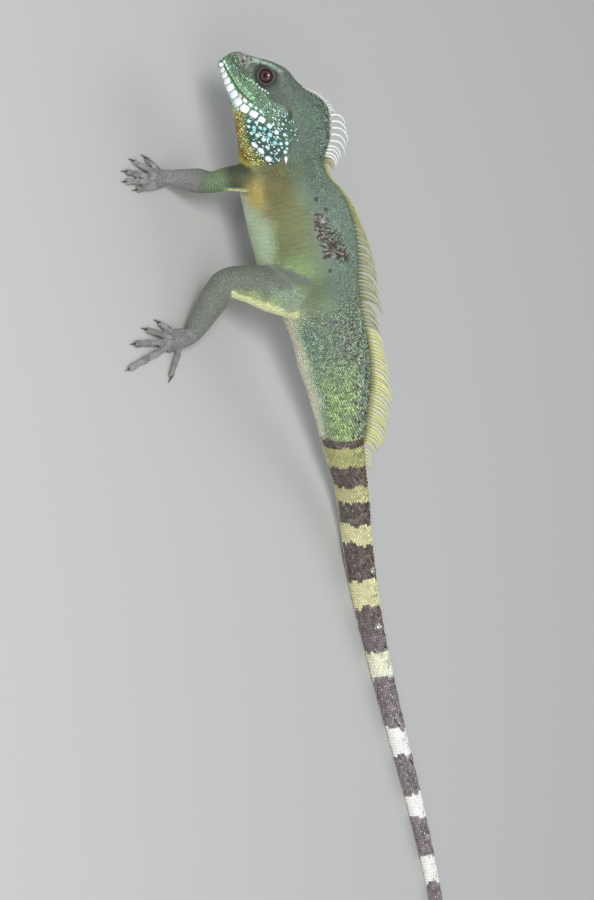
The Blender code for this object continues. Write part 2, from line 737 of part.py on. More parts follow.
def make_paw(name, joints, heading, first_side, digits, sole):
    """A hand or foot: the sole with its digits, joined and set on the floor."""
    wrist = np.array(joints[-1][:3])
    radius = joints[-1][3]
    lead = limb_frame(joints, len(joints) - 1.02)[2]
    way = np.array([math.cos(heading), math.sin(heading), 0.0])
    across = np.array([way[1], -way[0], 0.0]) * first_side
    profile = [
        (0.0, radius, radius, wrist[2]),
        (0.35, radius * 1.1, radius * 0.9, wrist[2] * 0.72),
        (0.75, sole.half_width, sole.half_height, sole.half_height - FLOOR_SINK),
        (1.0, sole.half_width * 0.92, sole.half_height * 0.8, sole.half_height * 0.8 - FLOOR_SINK),
    ]
    rings = []
    for share, half_width, half_height, height in profile:
        turned = min(share / 0.35, 1.0)
        along = lead * (1 - turned) + way * turned
        level = np.cross(along, (0.0, 0.0, 1.0))
        level /= np.linalg.norm(level)
        upright = np.cross(level, along / np.linalg.norm(along))
        middle = wrist + way * sole.length * share
        middle[2] = height
        rings.append(round_ring(middle, level * half_width, upright * half_height, LIMB_SIDES))
    paw = loft(name, rings)
    pieces = []
    for i, size in enumerate(digits):
        base = wrist + way * (sole.length - size.set_back) + across * sole.half_width * (0.8 - 0.4 * i)
        pieces.append(digit("digit", base, heading - first_side * math.radians(size.turn), size))
    join(paw, pieces)
    return set_on_floor(paw)


def make_leg(parts, joints, heading, first_side, digits, sole):
    """Upper leg, lower leg and paw. The upper leg is cut where it meets the trunk."""
    upper_name, lower_name, paw_name = parts
    trim = GAP / math.dist(joints[-2][:3], joints[-1][:3])
    ankle = len(joints) - 1
    knee, _, along, _, _ = limb_frame(joints, MIDDLE_JOINT)
    upper = limb_loft(upper_name, joints, 0, MIDDLE_JOINT + 0.3)
    cut(upper, half_space(knee, along))
    trunk_places = [*neck_places(), *torso_places(), 9.0, 10.0]
    cut(upper, loft("trunk", [body_ring(p, GAP * 1.5) for p in trunk_places]), head_loft(GAP * 1.5))
    lower = limb_loft(lower_name, joints, MIDDLE_JOINT - 0.3, ankle - trim)
    cut(lower, half_space(knee + along * GAP, -along))
    paw = make_paw(paw_name, joints, heading, first_side, digits, sole)
    cut(paw, limb_loft("lower_leg", joints, MIDDLE_JOINT, ankle, GAP))
    return {upper_name: upper, lower_name: lower, paw_name: paw}


def make_legs():
    nodes = {}
    legs = [
        (("upper_arm_left", "forearm_left", "hand_left"), FORELEG_LEFT, -93.0, 1, FINGERS, HAND),
        (("upper_arm_right", "forearm_right", "hand_right"), FORELEG_RIGHT, 128.0, -1, FINGERS, HAND),
        (("thigh_left", "shank_left", "foot_left"), HINDLEG_LEFT, -84.0, 1, TOES, FOOT),
        (("thigh_right", "shank_right", "foot_right"), HINDLEG_RIGHT, 116.0, -1, TOES, FOOT),
    ]
    for parts, joints, heading, first_side, digits, sole in legs:
        nodes.update(make_leg(parts, joints, math.radians(heading), first_side, digits, sole))
    return nodes


def material(name, colour, roughness):
    made = bpy.data.materials.new(name)
    made.use_nodes = True
    shader = made.node_tree.nodes["Principled BSDF"]
    shader.inputs["Base Color"].default_value = (*colour, 1)
    shader.inputs["Roughness"].default_value = roughness
    shader.inputs["Metallic"].default_value = 0.0
    return made


def look_of(name):
    """Colour and roughness of a node."""
    if name.startswith("eye"):
        return (0.12, 0.05, 0.04), 0.1
    if name.startswith("tail"):
        return TAIL_LOOKS[name], 0.6
    looks = {"head": (0.27, 0.38, 0.26), "neck": (0.24, 0.33, 0.2), "torso": (0.22, 0.3, 0.17)}
    return looks.get(name, (0.2, 0.21, 0.18)), 0.6


def dress(nodes):
    for name, obj in nodes.items():
        obj.data.materials.clear()
        obj.data.materials.append(material(name, *look_of(name)))
        obj.data.shade_smooth()
        obj.data.set_sharp_from_angle(angle=math.radians(40))


def centre_on_origin(objects):
    corners = np.array([vertex.co for obj in objects for vertex in obj.data.vertices])
    middle = (corners.min(axis=0) + corners.max(axis=0)) / 2
    for obj in objects:
        obj.data.transform(Matrix.Translation((-middle[0], -middle[1], 0.0)))


def main():
    for obj in list(bpy.data.objects):
        bpy.data.objects.remove(obj)
    nodes = {**make_front(), **make_torso(), **make_tail(), **make_legs()}
    for name, obj in nodes.items():
        obj.name = name
    centre_on_origin(list(nodes.values()))
    dress(nodes)


main()
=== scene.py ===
"""The looks of a life-size water dragon lizard, on a pale floor under soft light.

One skin covers the whole body, with thousands of scales set on it, and with the plates of the jaw, the crest
spine by spine, the lids, the eyes and the claws as pieces of their own.

Lengths are in millimetres, in the axes that the solids were drawn in: -X is the way the lizard faces, -Y its
left side and +Z up. They are turned into metres and moved level with the floor as each mesh is made.
"""

import math
from collections import namedtuple

import bmesh
import bpy
import numpy as np
from mathutils import Matrix, Vector
from mathutils.kdtree import KDTree


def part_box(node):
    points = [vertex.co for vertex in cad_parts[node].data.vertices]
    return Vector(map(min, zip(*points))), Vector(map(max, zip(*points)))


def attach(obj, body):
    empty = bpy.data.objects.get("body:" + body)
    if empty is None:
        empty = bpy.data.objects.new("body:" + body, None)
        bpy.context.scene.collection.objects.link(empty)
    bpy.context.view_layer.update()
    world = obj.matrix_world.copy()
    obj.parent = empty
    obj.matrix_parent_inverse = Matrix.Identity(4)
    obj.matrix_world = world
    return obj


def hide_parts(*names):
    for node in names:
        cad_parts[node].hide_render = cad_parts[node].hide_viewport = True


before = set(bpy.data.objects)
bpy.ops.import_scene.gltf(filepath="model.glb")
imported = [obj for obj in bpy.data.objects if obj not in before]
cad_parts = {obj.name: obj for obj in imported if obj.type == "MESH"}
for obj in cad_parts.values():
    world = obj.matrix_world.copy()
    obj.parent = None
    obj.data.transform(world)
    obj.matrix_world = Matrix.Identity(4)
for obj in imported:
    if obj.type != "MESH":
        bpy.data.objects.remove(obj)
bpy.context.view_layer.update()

MM = 0.001
UP = (0.0, 0.0, 1.0)

# How much lower than their radius the soles and digits lie, so that they rest flat on the floor.
FLOOR_SINK = 0.45

# The head has its own axes: back from the tip of the snout, left and up.
SNOUT_TIP = (-281.0, -17.0, 47.0)
HEAD_YAW = 15.0
HEAD_PITCH = 23.0
HEAD_ROLL = 28.0

# The trunk and tail from the nape back: x, y, z, reach up, reach down, half width, peak and roll of each
# section. A place on the body is counted in these sections.
STATIONS = [
    (-246.0, -5.5, 67.5, 29.0, 17.0, 14.0, 0.80, 28.0),
    (-226.0, -2.0, 73.0, 40.0, 31.0, 21.0, 0.80, 27.0),
    (-210.0, 1.0, 75.5, 34.0, 37.0, 20.0, 0.95, 22.0),
    (-194.0, 3.0, 76.5, 23.5, 41.0, 21.0, 1.20, 16.0),
    (-176.0, 5.0, 75.5, 33.5, 41.5, 23.5, 1.30, 12.0),
    (-154.0, 8.0, 73.5, 39.5, 40.5, 25.0, 1.35, 10.0),
    (-131.0, 12.0, 71.0, 38.0, 38.0, 25.0, 1.35, 10.0),
    (-110.0, 17.0, 68.5, 33.5, 32.0, 22.0, 1.40, 10.0),
    (-91.0, 23.5, 65.5, 31.0, 27.5, 20.0, 1.45, 10.0),
    (-72.0, 31.0, 62.0, 30.5, 26.5, 18.0, 1.50, 9.0),
    (-54.0, 39.0, 57.0, 28.5, 25.5, 16.5, 1.50, 8.0),
    (-38.0, 46.5, 51.5, 25.0, 22.5, 14.5, 1.50, 7.0),
    (-19.0, 55.0, 44.0, 20.5, 19.0, 12.5, 1.50, 6.0),
    (0.0, 63.5, 36.0, 16.8, 16.0, 11.0, 1.60, 5.0),
    (30.0, 76.5, 27.5, 14.0, 12.8, 9.5, 1.60, 3.0),
    (60.0, 86.5, 19.0, 12.6, 12.2, 8.8, 1.60, 2.0),
    (100.0, 93.0, 12.0, 11.4, 11.9, 8.2, 1.70, 0.0),
    (128.0, 96.0, 10.0, 10.2, 10.45, 7.8, 1.80, 0.0),
    (161.0, 100.0, 8.6, 9.2, 9.05, 7.3, 1.80, 0.0),
    (224.0, 109.0, 6.9, 7.6, 7.35, 6.2, 1.90, 0.0),
    (277.0, 117.5, 6.0, 6.6, 6.45, 5.4, 1.90, 0.0),
    (330.0, 123.5, 5.1, 5.6, 5.55, 4.8, 2.00, 0.0),
    (400.0, 127.0, 3.8, 4.2, 4.25, 3.7, 2.00, 0.0),
    (470.0, 124.0, 2.5, 2.7, 2.95, 2.5, 2.00, 0.0),
    (538.0, 113.0, 1.1, 1.0, 1.55, 1.1, 2.00, 0.0),
]

# The head: back, crown, then side and up of the brow, cheek, lip and jaw edge, and the throat.
HEAD_SECTIONS = [
    (-1.8, 8.0, 2.4, 7.2, 3.4, 5.2, 3.6, 1.4, 2.8, -1.2, -2.2),
    (-0.6, 11.2, 4.4, 10.0, 6.0, 6.4, 6.4, 1.6, 5.0, -2.2, -3.2),
    (3.4, 15.6, 6.6, 14.2, 8.8, 8.4, 9.4, 1.9, 7.8, -3.4, -4.6),
    (9.5, 19.4, 8.4, 18.0, 11.2, 10.6, 12.0, 2.2, 10.4, -5.0, -6.4),
    (16.5, 24.0, 10.2, 22.6, 13.2, 12.6, 14.6, 2.2, 13.0, -6.6, -8.6),
    (24.5, 28.8, 12.8, 28.4, 14.6, 13.6, 16.8, 2.0, 15.2, -8.6, -11.4),
    (32.0, 31.6, 13.8, 30.8, 15.8, 14.2, 18.6, 1.8, 17.4, -11.0, -14.2),
    (41.0, 33.4, 13.6, 30.8, 18.0, 15.2, 20.6, 1.2, 20.2, -14.2, -18.4),
    (52.0, 35.4, 13.0, 29.2, 19.6, 15.4, 23.2, 0.4, 22.8, -18.0, -24.8),
    (63.0, 35.0, 12.4, 27.4, 19.4, 14.6, 23.4, -1.4, 22.4, -21.5, -31.0),
    (73.0, 32.0, 10.4, 24.0, 17.8, 12.4, 22.0, -4.0, 20.0, -20.0, -31.0),
    (82.0, 24.0, 7.0, 18.0, 15.0, 8.4, 19.0, -5.0, 14.5, -15.0, -22.0),
    (90.0, 14.0, 4.0, 10.0, 8.0, 4.0, 10.0, -4.0, 7.0, -9.0, -12.0),
]

EYE_BACK = 29.4
EYE_SIDE = 9.8
EYE_UP = 20.6
EYEBALL = 7.5
LID = 8.8
NOSTRIL = (10.0, 13.5)
EAR = (62.0, 17.8)

# Height of the line of the mouth at distances back from the snout.
MOUTH_BACKS = [-2.0, 3.0, 9.0, 14.5, 20.0, 26.0, 31.0, 37.5, 40.0]
MOUTH_UPS = [1.2, 0.9, 0.4, 0.0, -0.4, -0.5, 0.2, 1.4, 1.9]
MOUTH_CORNER = 38.5

Plate = namedtuple("Plate", "back up half_length half_width rise tint")

# Height of the ridge over the eye.
BROW_BACKS = [0, 5, 14.6, 19.3, 24.6, 29.7, 34, 41, 52, 63]
BROW_UPS = [9, 14, 20.6, 24.6, 28.0, 30.0, 31.2, 31, 29, 27]

# Height of the middle of the great plates of the jaw and of the row that goes on behind them.
JAW_BACKS = [2, 5.6, 9.8, 14.5, 19.7, 25.3, 31.8, 39, 46.2, 53, 59.7, 66.2, 78, 90]
JAW_UPS = [-0.4, -1.6, -2.6, -3.4, -4.2, -5.0, -5.9, -4.8, -1.9, 0.4, 1.9, 3.1, 4.6, 6.0]

# Height where the coarse scales of the cheek give way to the fine ones of temple and neck.
REAR_BACKS = [20, 30, 46, 58, 67, 75, 80, 83, 86]
REAR_UPS = [12.0, 12.0, 13.0, 17.5, 16.5, 14.5, 11.5, 6.0, -8.0]

# Height where the yellow of the throat begins.
THROAT_BACKS = [20, 37, 46, 52, 60, 66, 75]
THROAT_UPS = [-7.0, -9.0, -12.0, -15.0, -18.5, -20.0, -19.0]

# The great plates of the lower jaw from the chin back, the row above them behind the corner of the mouth, and
# the round and oval tubercles of the jowl.
GREAT_PLATES = 11
PLATES = [
    Plate(2.0, -0.5, 1.7, 1.7, 0.4, "plate"),
    Plate(5.8, -1.9, 1.95, 2.2, 0.5, "plate"),
    Plate(10.0, -2.9, 2.15, 2.5, 0.6, "plate"),
    Plate(14.7, -3.7, 2.45, 2.9, 0.7, "plate"),
    Plate(19.9, -4.5, 2.65, 3.1, 0.8, "plate"),
    Plate(25.6, -5.2, 2.9, 3.2, 0.9, "plate"),
    Plate(31.9, -5.9, 3.2, 3.1, 1.0, "plate"),
    Plate(39.0, -4.8, 3.5, 2.8, 1.1, "plate"),
    Plate(46.2, -1.9, 3.4, 2.5, 1.2, "plate"),
    Plate(53.0, 0.4, 2.7, 2.1, 1.1, "plate"),
    Plate(59.7, 1.9, 2.1, 1.6, 1.0, "bead"),
    Plate(66.2, 3.1, 2.0, 1.7, 1.0, "bead"),
    Plate(29.7, -2.2, 1.9, 1.3, 0.6, "blush"),
    Plate(34.4, -1.3, 2.2, 1.5, 0.7, "plate"),
    Plate(39.4, 0.0, 1.9, 1.5, 0.7, "bead"),
    Plate(43.6, 1.9, 1.5, 1.2, 0.6, "bead"),
    Plate(47.6, 3.2, 1.4, 1.2, 0.6, "bead"),
    Plate(63.9, -14.4, 3.0, 1.6, 0.9, "plate"),
    Plate(69.8, -13.5, 3.1, 1.8, 1.0, "plate"),
    Plate(77.0, -13.0, 3.0, 2.3, 1.3, "plate"),
    Plate(48.0, -7.5, 1.6, 1.3, 0.8, "bead"),
    Plate(52.3, -3.8, 1.6, 1.3, 0.8, "bead"),
    Plate(56.7, -3.9, 1.5, 1.2, 0.8, "bead"),
    Plate(51.2, -9.8, 1.4, 1.2, 0.8, "bead"),
    Plate(54.1, -7.3, 1.8, 1.6, 0.9, "pool"),
    Plate(59.3, -1.8, 1.5, 1.3, 0.8, "pool"),
    Plate(56.1, -11.1, 1.5, 1.3, 0.8, "bead"),
    Plate(59.9, -8.6, 1.9, 1.6, 1.0, "bead"),
    Plate(64.7, -7.0, 1.9, 1.7, 1.0, "bead"),
    Plate(64.8, -1.6, 2.1, 1.8, 1.1, "pool"),
    Plate(60.5, 4.6, 1.3, 1.1, 0.8, "bead"),
    Plate(62.9, 7.2, 1.3, 1.1, 0.7, "leaf"),
    Plate(64.4, 10.0, 1.2, 1.0, 0.6, "bead"),
    Plate(70.9, 6.4, 1.4, 1.2, 0.8, "bead"),
    Plate(71.4, -2.4, 1.9, 1.7, 1.0, "pool"),
    Plate(74.3, 0.6, 1.4, 1.2, 0.9, "bead"),
    Plate(76.4, 3.8, 1.6, 1.5, 0.9, "bead"),
    Plate(76.8, -3.4, 1.2, 1.1, 0.8, "bead"),
    Plate(80.6, -0.7, 1.6, 1.5, 0.9, "bead"),
    Plate(70.0, -8.6, 1.2, 1.1, 0.8, "bead"),
    Plate(69.4, 1.6, 1.2, 1.0, 0.7, "bead"),
    Plate(27.5, 3.6, 2.2, 1.5, 0.5, "leaf"),
    Plate(31.9, 3.9, 2.0, 1.5, 0.6, "mint"),
    Plate(36.2, 4.4, 1.7, 1.2, 0.5, "mint"),
    Plate(22.6, 2.6, 1.6, 1.1, 0.5, "leaf"),
    Plate(17.6, 3.0, 1.5, 1.0, 0.5, "leaf"),
]
JOWL_CONE = (84.3, -3.0)

# The legs from inside the trunk to the wrist or ankle: x, y, z and radius.
FORELEG_LEFT = [
    (-190.0, 2.0, 62.0, 12.0),
    (-197.0, -20.0, 50.0, 10.0),
    (-198.3, -28.0, 41.5, 8.3),
    (-198.0, -34.0, 32.0, 7.5),
    (-201.0, -38.5, 22.5, 8.6),
    (-204.0, -45.0, 14.5, 7.0),
    (-206.8, -51.0, 8.5, 5.2),
]
FORELEG_RIGHT = [
    (-183.0, 14.0, 66.0, 12.0),
    (-186.0, 29.0, 57.0, 10.0),
    (-179.0, 42.0, 46.0, 8.4),
    (-175.0, 53.0, 36.0, 7.5),
    (-183.0, 58.0, 25.5, 8.6),
    (-191.0, 62.0, 15.5, 7.0),
    (-197.0, 65.0, 8.5, 5.2),
]
HINDLEG_LEFT = [
    (-108.0, 6.0, 61.0, 16.5),
    (-115.0, -7.0, 50.5, 16.2),
    (-123.0, -25.0, 40.0, 13.0),
    (-125.0, -38.0, 31.0, 10.2),
    (-113.0, -46.0, 22.0, 9.8),
    (-102.0, -53.0, 15.0, 8.2),
    (-93.0, -59.0, 9.5, 6.4),
]
HINDLEG_RIGHT = [
    (-99.0, 28.0, 60.0, 17.0),
    (-110.0, 42.0, 55.0, 16.2),
    (-129.0, 57.0, 48.0, 13.2),
    (-145.0, 69.0, 40.0, 10.4),
    (-136.0, 77.0, 31.0, 9.8),
    (-121.0, 84.0, 20.0, 8.2),
    (-109.0, 90.0, 10.0, 6.4),
]

Digit = namedtuple("Digit", "turn length set_back radius")

FINGERS = [
    Digit(42.0, 17.0, 7.0, 1.9),
    Digit(25.0, 25.0, 2.0, 1.9),
    Digit(8.0, 31.0, 0.0, 1.9),
    Digit(-1.0, 32.0, 0.0, 1.9),
    Digit(-8.0, 26.0, 4.0, 1.8),
]
TOES = [
    Digit(42.0, 17.0, 8.0, 2.0),
    Digit(25.0, 26.0, 3.0, 2.0),
    Digit(8.0, 37.0, 0.0, 2.1),
    Digit(-10.0, 49.0, 0.0, 2.1),
    Digit(-52.0, 28.0, 12.0, 2.0),
]
Sole = namedtuple("Sole", "length half_width half_height")

HAND = Sole(13.0, 7.2, 3.2)
FOOT = Sole(22.0, 7.6, 3.4)
CLAW = 5.0

Leg = namedtuple("Leg", "name side joints heading first_side digits sole")

LEGS = [
    Leg("fore", "left", FORELEG_LEFT, -93.0, 1, FINGERS, HAND),
    Leg("fore", "right", FORELEG_RIGHT, 128.0, -1, FINGERS, HAND),
    Leg("hind", "left", HINDLEG_LEFT, -84.0, 1, TOES, FOOT),
    Leg("hind", "right", HINDLEG_RIGHT, 116.0, -1, TOES, FOOT),
]

SpineRow = namedtuple("SpineRow", "start end count first last look")

# The crest, as rows between two places along STATIONS, with the heights of the first and last spine.
CREST = [
    SpineRow(0.02, 0.78, 11, 1.3, 3.0, "nape"),
    SpineRow(0.86, 1.16, 4, 3.8, 5.4, "nape"),
    SpineRow(1.36, 1.56, 2, 13.0, 15.5, "nape"),
    SpineRow(1.77, 2.18, 3, 16.5, 15.0, "nape"),
    SpineRow(2.34, 2.66, 4, 12.5, 12.0, "nape"),
    SpineRow(2.68, 2.92, 4, 8.0, 5.0, "back"),
    SpineRow(3.00, 4.02, 10, 6.0, 10.0, "back"),
    SpineRow(4.10, 7.50, 28, 10.5, 21.0, "back"),
    SpineRow(7.62, 8.46, 7, 14.0, 15.0, "back"),
    SpineRow(8.60, 10.24, 14, 15.0, 18.5, "tail"),
    SpineRow(10.34, 12.32, 17, 21.0, 20.0, "tail"),
    SpineRow(12.42, 12.88, 5, 18.0, 12.0, "tail"),
    SpineRow(13.14, 13.52, 5, 8.5, 7.0, "tail"),
    SpineRow(13.66, 16.40, 30, 3.4, 1.4, "tail"),
    SpineRow(16.48, 19.60, 36, 1.4, 0.8, "tail"),
]

# How far the crest's spines lean back at their roots, in degrees, at places along STATIONS.
SPINE_PLACES = [0.0, 2.6, 3.0, 4.0, 5.4, 6.6]
SPINE_LEANS = [5.0, 8.0, 36.0, 30.0, 15.0, 5.0]

# How many times longer than CREST says the spines are, at places along STATIONS.
STRETCH_PLACES = [2.66, 2.7, 3.4, 4.2, 4.8]
STRETCHES = [1.0, 1.5, 1.45, 1.15, 1.0]

# A spine from inside the back to near its tip, as shares of its height, with its width and thickness there.
SPINE_SIDES = 6
SPINE_LEVELS = np.array([-0.16, 0.0, 0.12, 0.28, 0.46, 0.64, 0.8, 0.92])
WIDTH_LEVELS = [-0.16, 0.0, 0.14, 0.45, 0.8, 1.0]
WIDTHS = [2.7, 2.4, 2.1, 1.8, 1.2, 0.3]
THICK_LEVELS = [-0.16, 0.0, 0.5, 1.0]
THICKS = [1.7, 1.5, 1.0, 0.3]

# Colours of the blade and root, greatest width, the height that has a width of 1, bend in degrees, and where
# the root's colour ends. Spines under 6 high have the short bend.
SHORT_BEND = 42
SpineLook = namedtuple("SpineLook", "main root widest full_height bend fade")
SPINE_LOOKS = {
    "nape": SpineLook("spine_white", "lobe", 0.8, 12, 54, 0.1),
    "back": SpineLook("spine_back", "spine_root", 0.95, 9, SHORT_BEND, 0.3),
    "tail": SpineLook("spine_tail", "spine_root", 1.15, 9, SHORT_BEND, 0.3),
}

# Places along STATIONS where the tail turns from dark to pale and back, starting with a dark ring.
BANDS = [12.72, 13.05, 13.51, 14.0, 14.46, 15.04, 15.41, 16.2, 16.95, 18.0, 18.31, 18.96, 19.33, 19.96]
BANDS += [20.29, 20.89, 21.23, 21.75, 22.05, 22.6, 22.85]

# Claws from inside the digit to near the tip: way ahead, height as a share of the digit's radius, and radius.
CLAW_SIDES = 8
CLAW_RINGS = [(-1.6, 0.9, 0.8), (-0.2, 1.12, 1.0), (1.6, 1.1, 0.82), (3.2, 0.82, 0.6), (4.5, 0.42, 0.3)]

# The folds of the lids: degrees from the axis of the eye, distance from its middle, and shade.
LID_SIDES = 96
LID_FOLDS = [
    (39.0, 7.55, 0.35), (38.2, 7.95, 0.5), (39.0, 8.4, 0.8), (42.0, 8.75, 1.2), (46.5, 8.85, 1.1),
    (50.5, 8.6, 0.7), (54.0, 8.75, 0.95), (57.5, 9.1, 1.15), (61.0, 9.0, 1.0), (63.5, 8.8, 0.78),
    (66.5, 9.05, 1.0), (70.0, 9.3, 1.1), (74.0, 9.1, 0.95), (78.0, 8.8, 0.9), (84.0, 8.2, 0.8),
    (80.0, 7.7, 0.7), (60.0, 7.6, 0.6),
]
EYE_SIDES = 72

# The middle of the scar on the left of the back, with its half width at each point.
SCAR_LINE = [
    (-158.0, -6.5, 98.8, 3.5),
    (-151.0, -4.5, 99.8, 5.5),
    (-143.0, -2.0, 101.4, 7.2),
    (-136.0, 0.5, 101.2, 7.6),
    (-131.0, 5.5, 103.0, 4.2),
    (-128.0, 10.5, 105.5, 1.2),
]
SCAR_SPOTS = [(-171.7, -6.6, 98.9), (-163.3, -2.4, 103.1), (-120.6, 0.5, 95.4)]
WHITE_SPOTS = [(99, 91.9, 23.5), (141.8, 94.6, 18.2)]

# The middle of the grey wedge that runs from the thigh up on the hip, with its half width at each point.
HIP_LINE = [
    (-124.0, -14.0, 52.0, 10.0),
    (-122.0, -13.5, 60.0, 8.6),
    (-120.5, -12.0, 68.7, 6.2),
    (-117.4, -8.7, 76.8, 3.4),
    (-113.2, -5.0, 82.0, 0.6),
]

# The coats of scales on neck, trunk and tail, between two places along STATIONS.
Coat = namedtuple("Coat", "name start end half slot")
COATS = [
    Coat("neck_scales_left", 0.0, 2.9, "left", "trunk_skin"),
    Coat("neck_scales_right", 0.0, 2.9, "right", "trunk_skin"),
    Coat("torso_scales_left", 2.9, 8.6, "left", "trunk_skin"),
    Coat("torso_scales_right", 2.9, 8.6, "right", "trunk_skin"),
    Coat("tail_base_scales_left", 8.6, 13.0, "left", "tail_skin"),
    Coat("tail_base_scales_right", 8.6, 13.0, "right", "tail_skin"),
    Coat("tail_scales", 13.0, 24.1, "both", "tail_skin"),
]

# Length, width and stray of scales, and then their height and the share of them that is keeled: places along
# the part, and the values there.
Pattern = namedtuple("Pattern", "length width stray")
BODY_PATTERN = Pattern(
    ([0, 2.5, 3, 8, 10, 13, 18, 24], [1.2, 1.25, 1.35, 1.5, 1.6, 1.9, 2.3, 2.3]),
    ([0, 2.5, 3, 8, 10, 13, 18, 24], [1.25, 1.3, 1.4, 1.55, 1.7, 2.0, 2.1, 1.4]),
    ([0, 8, 10, 13, 24], [0.13, 0.13, 0.08, 0.03, 0.02]),
)
BODY_HEIGHT = ([0, 3, 7, 8.5, 10, 14, 24], [0.16, 0.18, 0.2, 0.32, 0.42, 0.5, 0.35])
BODY_KEELS = ([0, 8.2, 10.5, 24], [0.0, 0.0, 0.9, 1.0])
LEG_PATTERN = Pattern(([0, 6], [1.4, 1.5]), ([0, 6], [1.5, 1.5]), ([0, 6], [0.1, 0.06]))
LEG_HEIGHT = ([0, 6], [0.2, 0.3])
LEG_KEELS = ([0, 6], [0.3, 0.8])
PAW_PATTERN = Pattern(([0, 9], [1.45, 1.45]), ([0, 9], [1.5, 1.5]), ([0, 9], [0.05, 0.05]))
PAW_HEIGHT = 0.24

# The columns of a lattice's rows after the point and the way along it.
PLACE, TURN, STEP, GAP = 6, 7, 8, 9

# The skin: the size of its quads, the width of the fillets between its parts, how far from a part its points
# are looked for, the distance of what isn't near, and how often points, fillets and colours are averaged.
VOXEL = 0.85
JOIN_WIDTH = 4.0
SEARCH_MARGIN = 12.0
FAR_OFF = 99.0
SMOOTH_ROUNDS = 3
FILLET_ROUNDS = 30
BLEND_ROUNDS = 12

# How deep a scale reaches into the skin, and the size of its own patch of the unwrapped skin.
ROOT_DEPTH = 0.45
UV_PATCH = 0.0014

# Random spots tried for the small scales of the head and, for each bare quad, for the granules between rows.
# Spots are looked up in cubes of CELL.
HEAD_TRIES = 60000
FOLD_TRIES = 12
FOLD_RADIUS = 0.62
CELL = 3

# The lofts: how many rings and points in each, the length from ring to ring of the body, and how many points
# lie between two rails of the head.
BODY_SIDES = 72
BODY_STEP = 2.2
HEAD_RINGS = 84
HEAD_STEPS = 7
LIMB_RINGS = 60
LIMB_SIDES = 40
SOLE_RINGS = 22
SOLE_SIDES = 36
DIGIT_RINGS = 34
DIGIT_SIDES = 20
BALL_RINGS = 24
BALL_SIDES = 36

# In metres: the floor, the lamps (name, place, size and power) and the camera. It looks down by CAMERA_DOWN
# degrees, and CAMERA_TIP turns the head of the lizard away from straight up in the picture.
FLOOR_SIZE = 6.0
FLOOR_COLOUR = (0.5, 0.5, 0.49, 1)
SKY_COLOUR = (0.9, 0.95, 1.0, 1)
SKY_STRENGTH = 0.35
LAMP_TARGET = (-0.1, 0, 0.04)
LAMPS = [
    ("key", (-0.5, -1.45, 1.75), 0.7, 31.0),
    ("fill", (0.6, -1.3, 1.3), 1.4, 13.0),
    ("rim", (-0.3, 1.4, 1.5), 1.2, 8.0),
]
CAMERA_DOWN = 36.0
CAMERA_TIP = 10.0
CAMERA_TARGET = (0, 0, 0.04)
CAMERA_DISTANCE = 1.8
CAMERA_LENS = 100
CAMERA_SENSOR = 36
CAMERA_CLIP = 0.05

RANDOM = np.random.default_rng(11)


def tone(red, green, blue):
    """A colour from screen values of 0 to 255."""
    value = np.array([red, green, blue]) / 255
    return np.where(value <= 0.04045, value / 12.92, ((value + 0.055) / 1.055) ** 2.4)


TONES = {
    "crown": tone(100, 112, 100),
    "snout": tone(148, 152, 140),
    "brow": tone(176, 208, 184),
    "temple": tone(94, 106, 96),
    "muzzle": tone(112, 132, 106),
    "leaf": tone(150, 190, 148),
    "cheek": tone(140, 174, 140),
    "jowl": tone(70, 105, 98),
    "bead": tone(208, 238, 230),
    "plate": tone(244, 248, 252),
    "blush": tone(222, 206, 212),
    "mint": tone(150, 206, 160),
    "pool": tone(160, 220, 222),
    "gular": tone(186, 190, 106),
    "amber": tone(178, 124, 18),
    "lid": tone(66, 62, 60),
    "lid_rim": tone(84, 72, 70),
    "straw": tone(222, 220, 150),
    # Painted shade round the eye socket and before the eye.
    "socket": tone(58, 62, 58),
    "dark": tone(40, 38, 34),
    "snout_pale": tone(164, 164, 152),
    "chin": tone(176, 208, 212),
    # The dark brown of the ear, also used as painted shade in the ear's hollow and in the nostril.
    "ear": tone(52, 46, 38),
    "lobe": tone(104, 124, 108),
    "lobe_shade": tone(98, 112, 100),
    "back": tone(121, 141, 125),
    "flank": tone(127, 134, 90),
    "side": tone(123, 135, 104),
    "low": tone(186, 206, 172),
    "belly": tone(206, 212, 190),
    "olive": tone(118, 116, 74),
    "orange": tone(192, 172, 98),
    "rust": tone(140, 116, 84),
    "brown": tone(110, 84, 66),
    "teal": tone(134, 168, 156),
    "moss": tone(92, 112, 86),
    "fern": tone(132, 160, 112),
    "scar": tone(62, 50, 46),
    "scab": tone(164, 144, 132),
    "hip": tone(142, 162, 136),
    "tail_green": tone(164, 188, 126),
    "tail_grey": tone(128, 136, 126),
    "vent": tone(228, 224, 202),
    "band": tone(98, 86, 79),
    "band_far": tone(140, 130, 133),
    "pale_near": tone(176, 176, 122),
    "pale_mid": tone(218, 213, 166),
    "pale_far": tone(255, 253, 246),
    "arm": tone(70, 79, 56),
    "elbow": tone(116, 138, 100),
    "grey": tone(124, 128, 118),
    "thigh": tone(120, 128, 114),
    "stripe": tone(246, 250, 190),
    "mauve": tone(142, 140, 146),
    "finger": tone(168, 162, 166),
    "under": tone(184, 180, 160),
    "horn": tone(74, 62, 52),
    "spine_white": tone(236, 240, 230),
    "spine_back": tone(164, 166, 118),
    "spine_tail": tone(214, 214, 148),
    "spine_root": tone(104, 110, 66),
}


